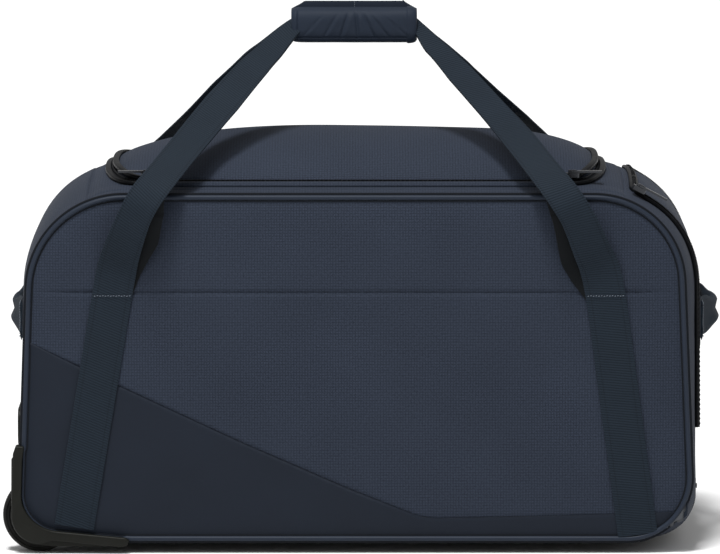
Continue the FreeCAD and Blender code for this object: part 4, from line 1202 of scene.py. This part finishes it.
def guard_outline():
    """Corner guard: the panel's lower left edge as its inner side, then the foot, an arc round the wheel
    and the leg up the end, smoothed by a running mean."""
    q = np.linspace(edge_place(0.1085, -1), 5 * SPAN + 1.18 * SPAN, 260)
    inner = loop_at(FRONT_EDGE, q)
    inner = inner[inner[:, 0] < -0.2355]
    inset = np.interp(inner[:, 1], [0.022, 0.050, 0.095, 0.105], [0.0010, -0.0014, -0.0014, 0.0])
    inner = inner + unit(np.array([-0.16, 0.20]) - inner) * inset[:, None]
    angle = np.radians(np.linspace(-62, -190, 40))
    rim = np.array([-0.3222, 0.0375]) + 0.0272 * np.stack([np.cos(angle), np.sin(angle)], 1)
    foot = np.array([[-0.2315, 0.0138], [-0.2330, 0.0082], [-0.2400, 0.0066]])
    leg = np.array([[-0.3494, 0.0560], [-0.3478, 0.1010], [-0.3450, 0.1090]])
    loop = np.vstack([inner, foot, rim, leg])
    loop = resample(np.vstack([loop, loop[:1]]), 700)[:-1]
    kernel = np.hanning(11) / np.hanning(11).sum()
    wrapped = np.vstack([loop[-5:], loop, loop[:5]])
    return np.stack([np.convolve(wrapped[:, k], kernel, mode="valid") for k in (0, 1)], 1)[::-1]


def build_guard(side, name):
    """The guard's outline as a plate from behind the edge to just in front of the piping, its front rim
    rounded by a quarter circle."""
    curve = np.linspace(0, math.pi / 2, 6)
    r = 0.0018
    levels = [(0.0, 0.1715 * side)]
    levels += [(r * (1 - math.cos(a)), (0.1868 - r + r * math.sin(a)) * side) for a in curve]
    attach(plate(name + "_corner_guard", guard_outline(), levels, GUARD), "bag", "guard_plastic")


def build_wheel(name):
    """Tyre and hub turned round the axle; profiles are in parts of the wheel's radius and half width."""
    node = name + "_wheel_tyre"
    low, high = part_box(node)
    centre = np.array((low + high) / 2)
    r = (high.x - low.x) / 2
    w = (high.y - low.y) / 2
    half = np.array([[0.80, -0.86], [0.83, -0.98], [0.872, -1.0], [0.884, -0.90], [0.900, -0.90],
                     [0.912, -1.0], [0.945, -0.99], [0.972, -0.93], [0.992, -0.78], [1.0, -0.55]])
    tread = np.array([[1.0, -0.06], [0.985, -0.03], [0.985, 0.03], [1.0, 0.06]])
    profile = np.vstack([half, tread, half[::-1] * [1, -1]])
    tyre = lathe(name + "_tyre_tread", profile * [r, w], centre, RUBBER)
    attach(tyre, name + "_wheel", "wheel_tyre", node)
    side = np.array([[0.80, -0.84], [0.74, -0.90], [0.70, -0.84], [0.66, -0.48], [0.42, -0.42],
                     [0.38, -0.80], [0.30, -0.84]])
    rim = np.vstack([side, side[::-1] * [1, -1]])
    hub = lathe(name + "_hub_rim", rim * [r, w], centre, HUB)
    attach(hub, name + "_wheel", "wheel_hub", name + "_wheel_hub")


SINK = (-0.0033, 0.0, -0.0062)     # brings the pocket's slider and puller down onto the cloth


def build_moulded():
    """Moulded parts and the pocket's slider with softened edges, and finishes for the frame's own parts."""
    for node, material, width, body, slot in (
        ("front_wheel_housing", GUARD, 0.0008, "bag", "guard_plastic"),
        ("rear_wheel_housing", GUARD, 0.0008, "bag", "guard_plastic"),
        ("kick_plate", GUARD, 0.0012, "bag", "guard_plastic"),
        ("trolley_cup", TROLLEY, 0.0015, "bag", "trolley_plastic"),
        ("trolley_bracket", TROLLEY, 0.0015, "bag", "trolley_plastic"),
        ("trolley_grip", GRIP, 0.0008, "trolley", "grip_plastic"),
        ("release_button", BUTTON, 0.0005, "release", "button_plastic"),
        ("skid_feet", FOOT, 0.0006, "bag", "foot_plastic"),
    ):
        attach(softened(node, material, width), body, slot)
    for part, slot in (("slider", "zip_metal"), ("puller", "puller_metal")):
        obj = softened("pocket_zip_" + part, DARK_METAL, 0.0003, 2, shift=SINK)
        attach(obj, "pocket_" + part, slot)
    finishes = {STEEL: ("front_axle", "rear_axle", "front_wheel_bearings", "rear_wheel_bearings",
                        "lock_rods"),
                ALUMINIUM: ("trolley_inner_tubes", "trolley_outer_tubes"),
                SCREW: ("foot_screws", "housing_screws", "cup_screws"),
                BASE_CLOTH: ("base_board",),
                DARK_METAL: ("left_zip_slider", "right_zip_slider", "left_zip_puller", "right_zip_puller")}
    for material, nodes in finishes.items():
        for node in nodes:
            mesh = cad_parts[node].data
            mesh.materials.clear()
            mesh.materials.append(material)


# ---------------------------------------------------------------- the scene
def build_stage():
    """A wide pale floor at the height of the wheels and feet."""
    size = 60.0
    corners = np.array([[-size, -size, 0], [size, -size, 0], [size, size, 0], [-size, size, 0]])
    s = Shader("pale_floor")
    vector = s.place()
    soft = s.noise(vector, 0.7, 2.0)
    material = s.finish(s.mix(soft, (0.90, 0.90, 0.90), (0.93, 0.93, 0.93)), 0.85)
    floor = piece("floor", corners, [[0, 1, 2, 3]], material)


def area_light(name, place, target, size, power):
    """A round lamp of a size in metres, aimed at a target."""
    light = bpy.data.lights.new(name, "AREA")
    light.shape = "DISK"
    light.size = size
    light.energy = power
    aim(bpy.data.objects.new(name, light), place, target)


def sun(name, place, target, strength, spread):
    """Far light from the direction of place, as wide in the sky as spread, in degrees."""
    light = bpy.data.lights.new(name, "SUN")
    light.energy = strength
    light.angle = math.radians(spread)
    aim(bpy.data.objects.new(name, light), place, target)


def aim(obj, place, target):
    """Puts a light or a camera at a place, looking at the target."""
    obj.location = place
    obj.rotation_euler = (Vector(target) - Vector(place)).to_track_quat("-Z", "Y").to_euler()
    bpy.context.scene.collection.objects.link(obj)


def build_light():
    """White surroundings, a high light and a soft lamp in front."""
    world = bpy.data.worlds.new("studio")
    world.use_nodes = True
    background = world.node_tree.nodes["Background"]
    background.inputs[0].default_value = (1.0, 1.0, 1.0, 1.0)
    background.inputs[1].default_value = 0.42
    bpy.context.scene.world = world
    sun("overhead", (-0.35, -1.05, 3.0), (0, 0, 0), 3.0, 12.0)
    area_light("key", (-0.35, -1.05, 1.45), (0, -0.1, 0.34), 0.9, 9.0)


CAMERA_DISTANCE = 8.0
CAMERA_HEIGHT = math.radians(6.0)
VIEW_WIDTH = 0.720


def build_camera():
    """Looks at the middle of the front face from a little above; the view is 0.72 m wide there."""
    centre = (0.0, -HALF_DEPTH, 0.2785)
    camera = bpy.data.cameras.new("camera")
    camera.sensor_width = 36.0
    camera.lens = camera.sensor_width * CAMERA_DISTANCE / VIEW_WIDTH
    camera.clip_end = 200.0
    obj = bpy.data.objects.new("camera", camera)
    place = (0.0, centre[1] - CAMERA_DISTANCE * math.cos(CAMERA_HEIGHT),
             centre[2] + CAMERA_DISTANCE * math.sin(CAMERA_HEIGHT))
    aim(obj, place, centre)
    bpy.context.scene.camera = obj


bpy.context.scene.view_settings.view_transform = "Standard"
build_camera()
build_stage()
build_light()
for side, name in ((FRONT, "front"), (REAR, "rear")):
    build_faces(side, name)
    build_piping(side, name)
    build_straps(side, name)
    half_sleeve(side, name)
    build_wheel(name)
    build_guard(side, name)
build_gusset()
build_pocket()
build_top()
build_lid()
build_zips()
build_grab("left", -1)
build_grab("right", 1)
build_moulded()
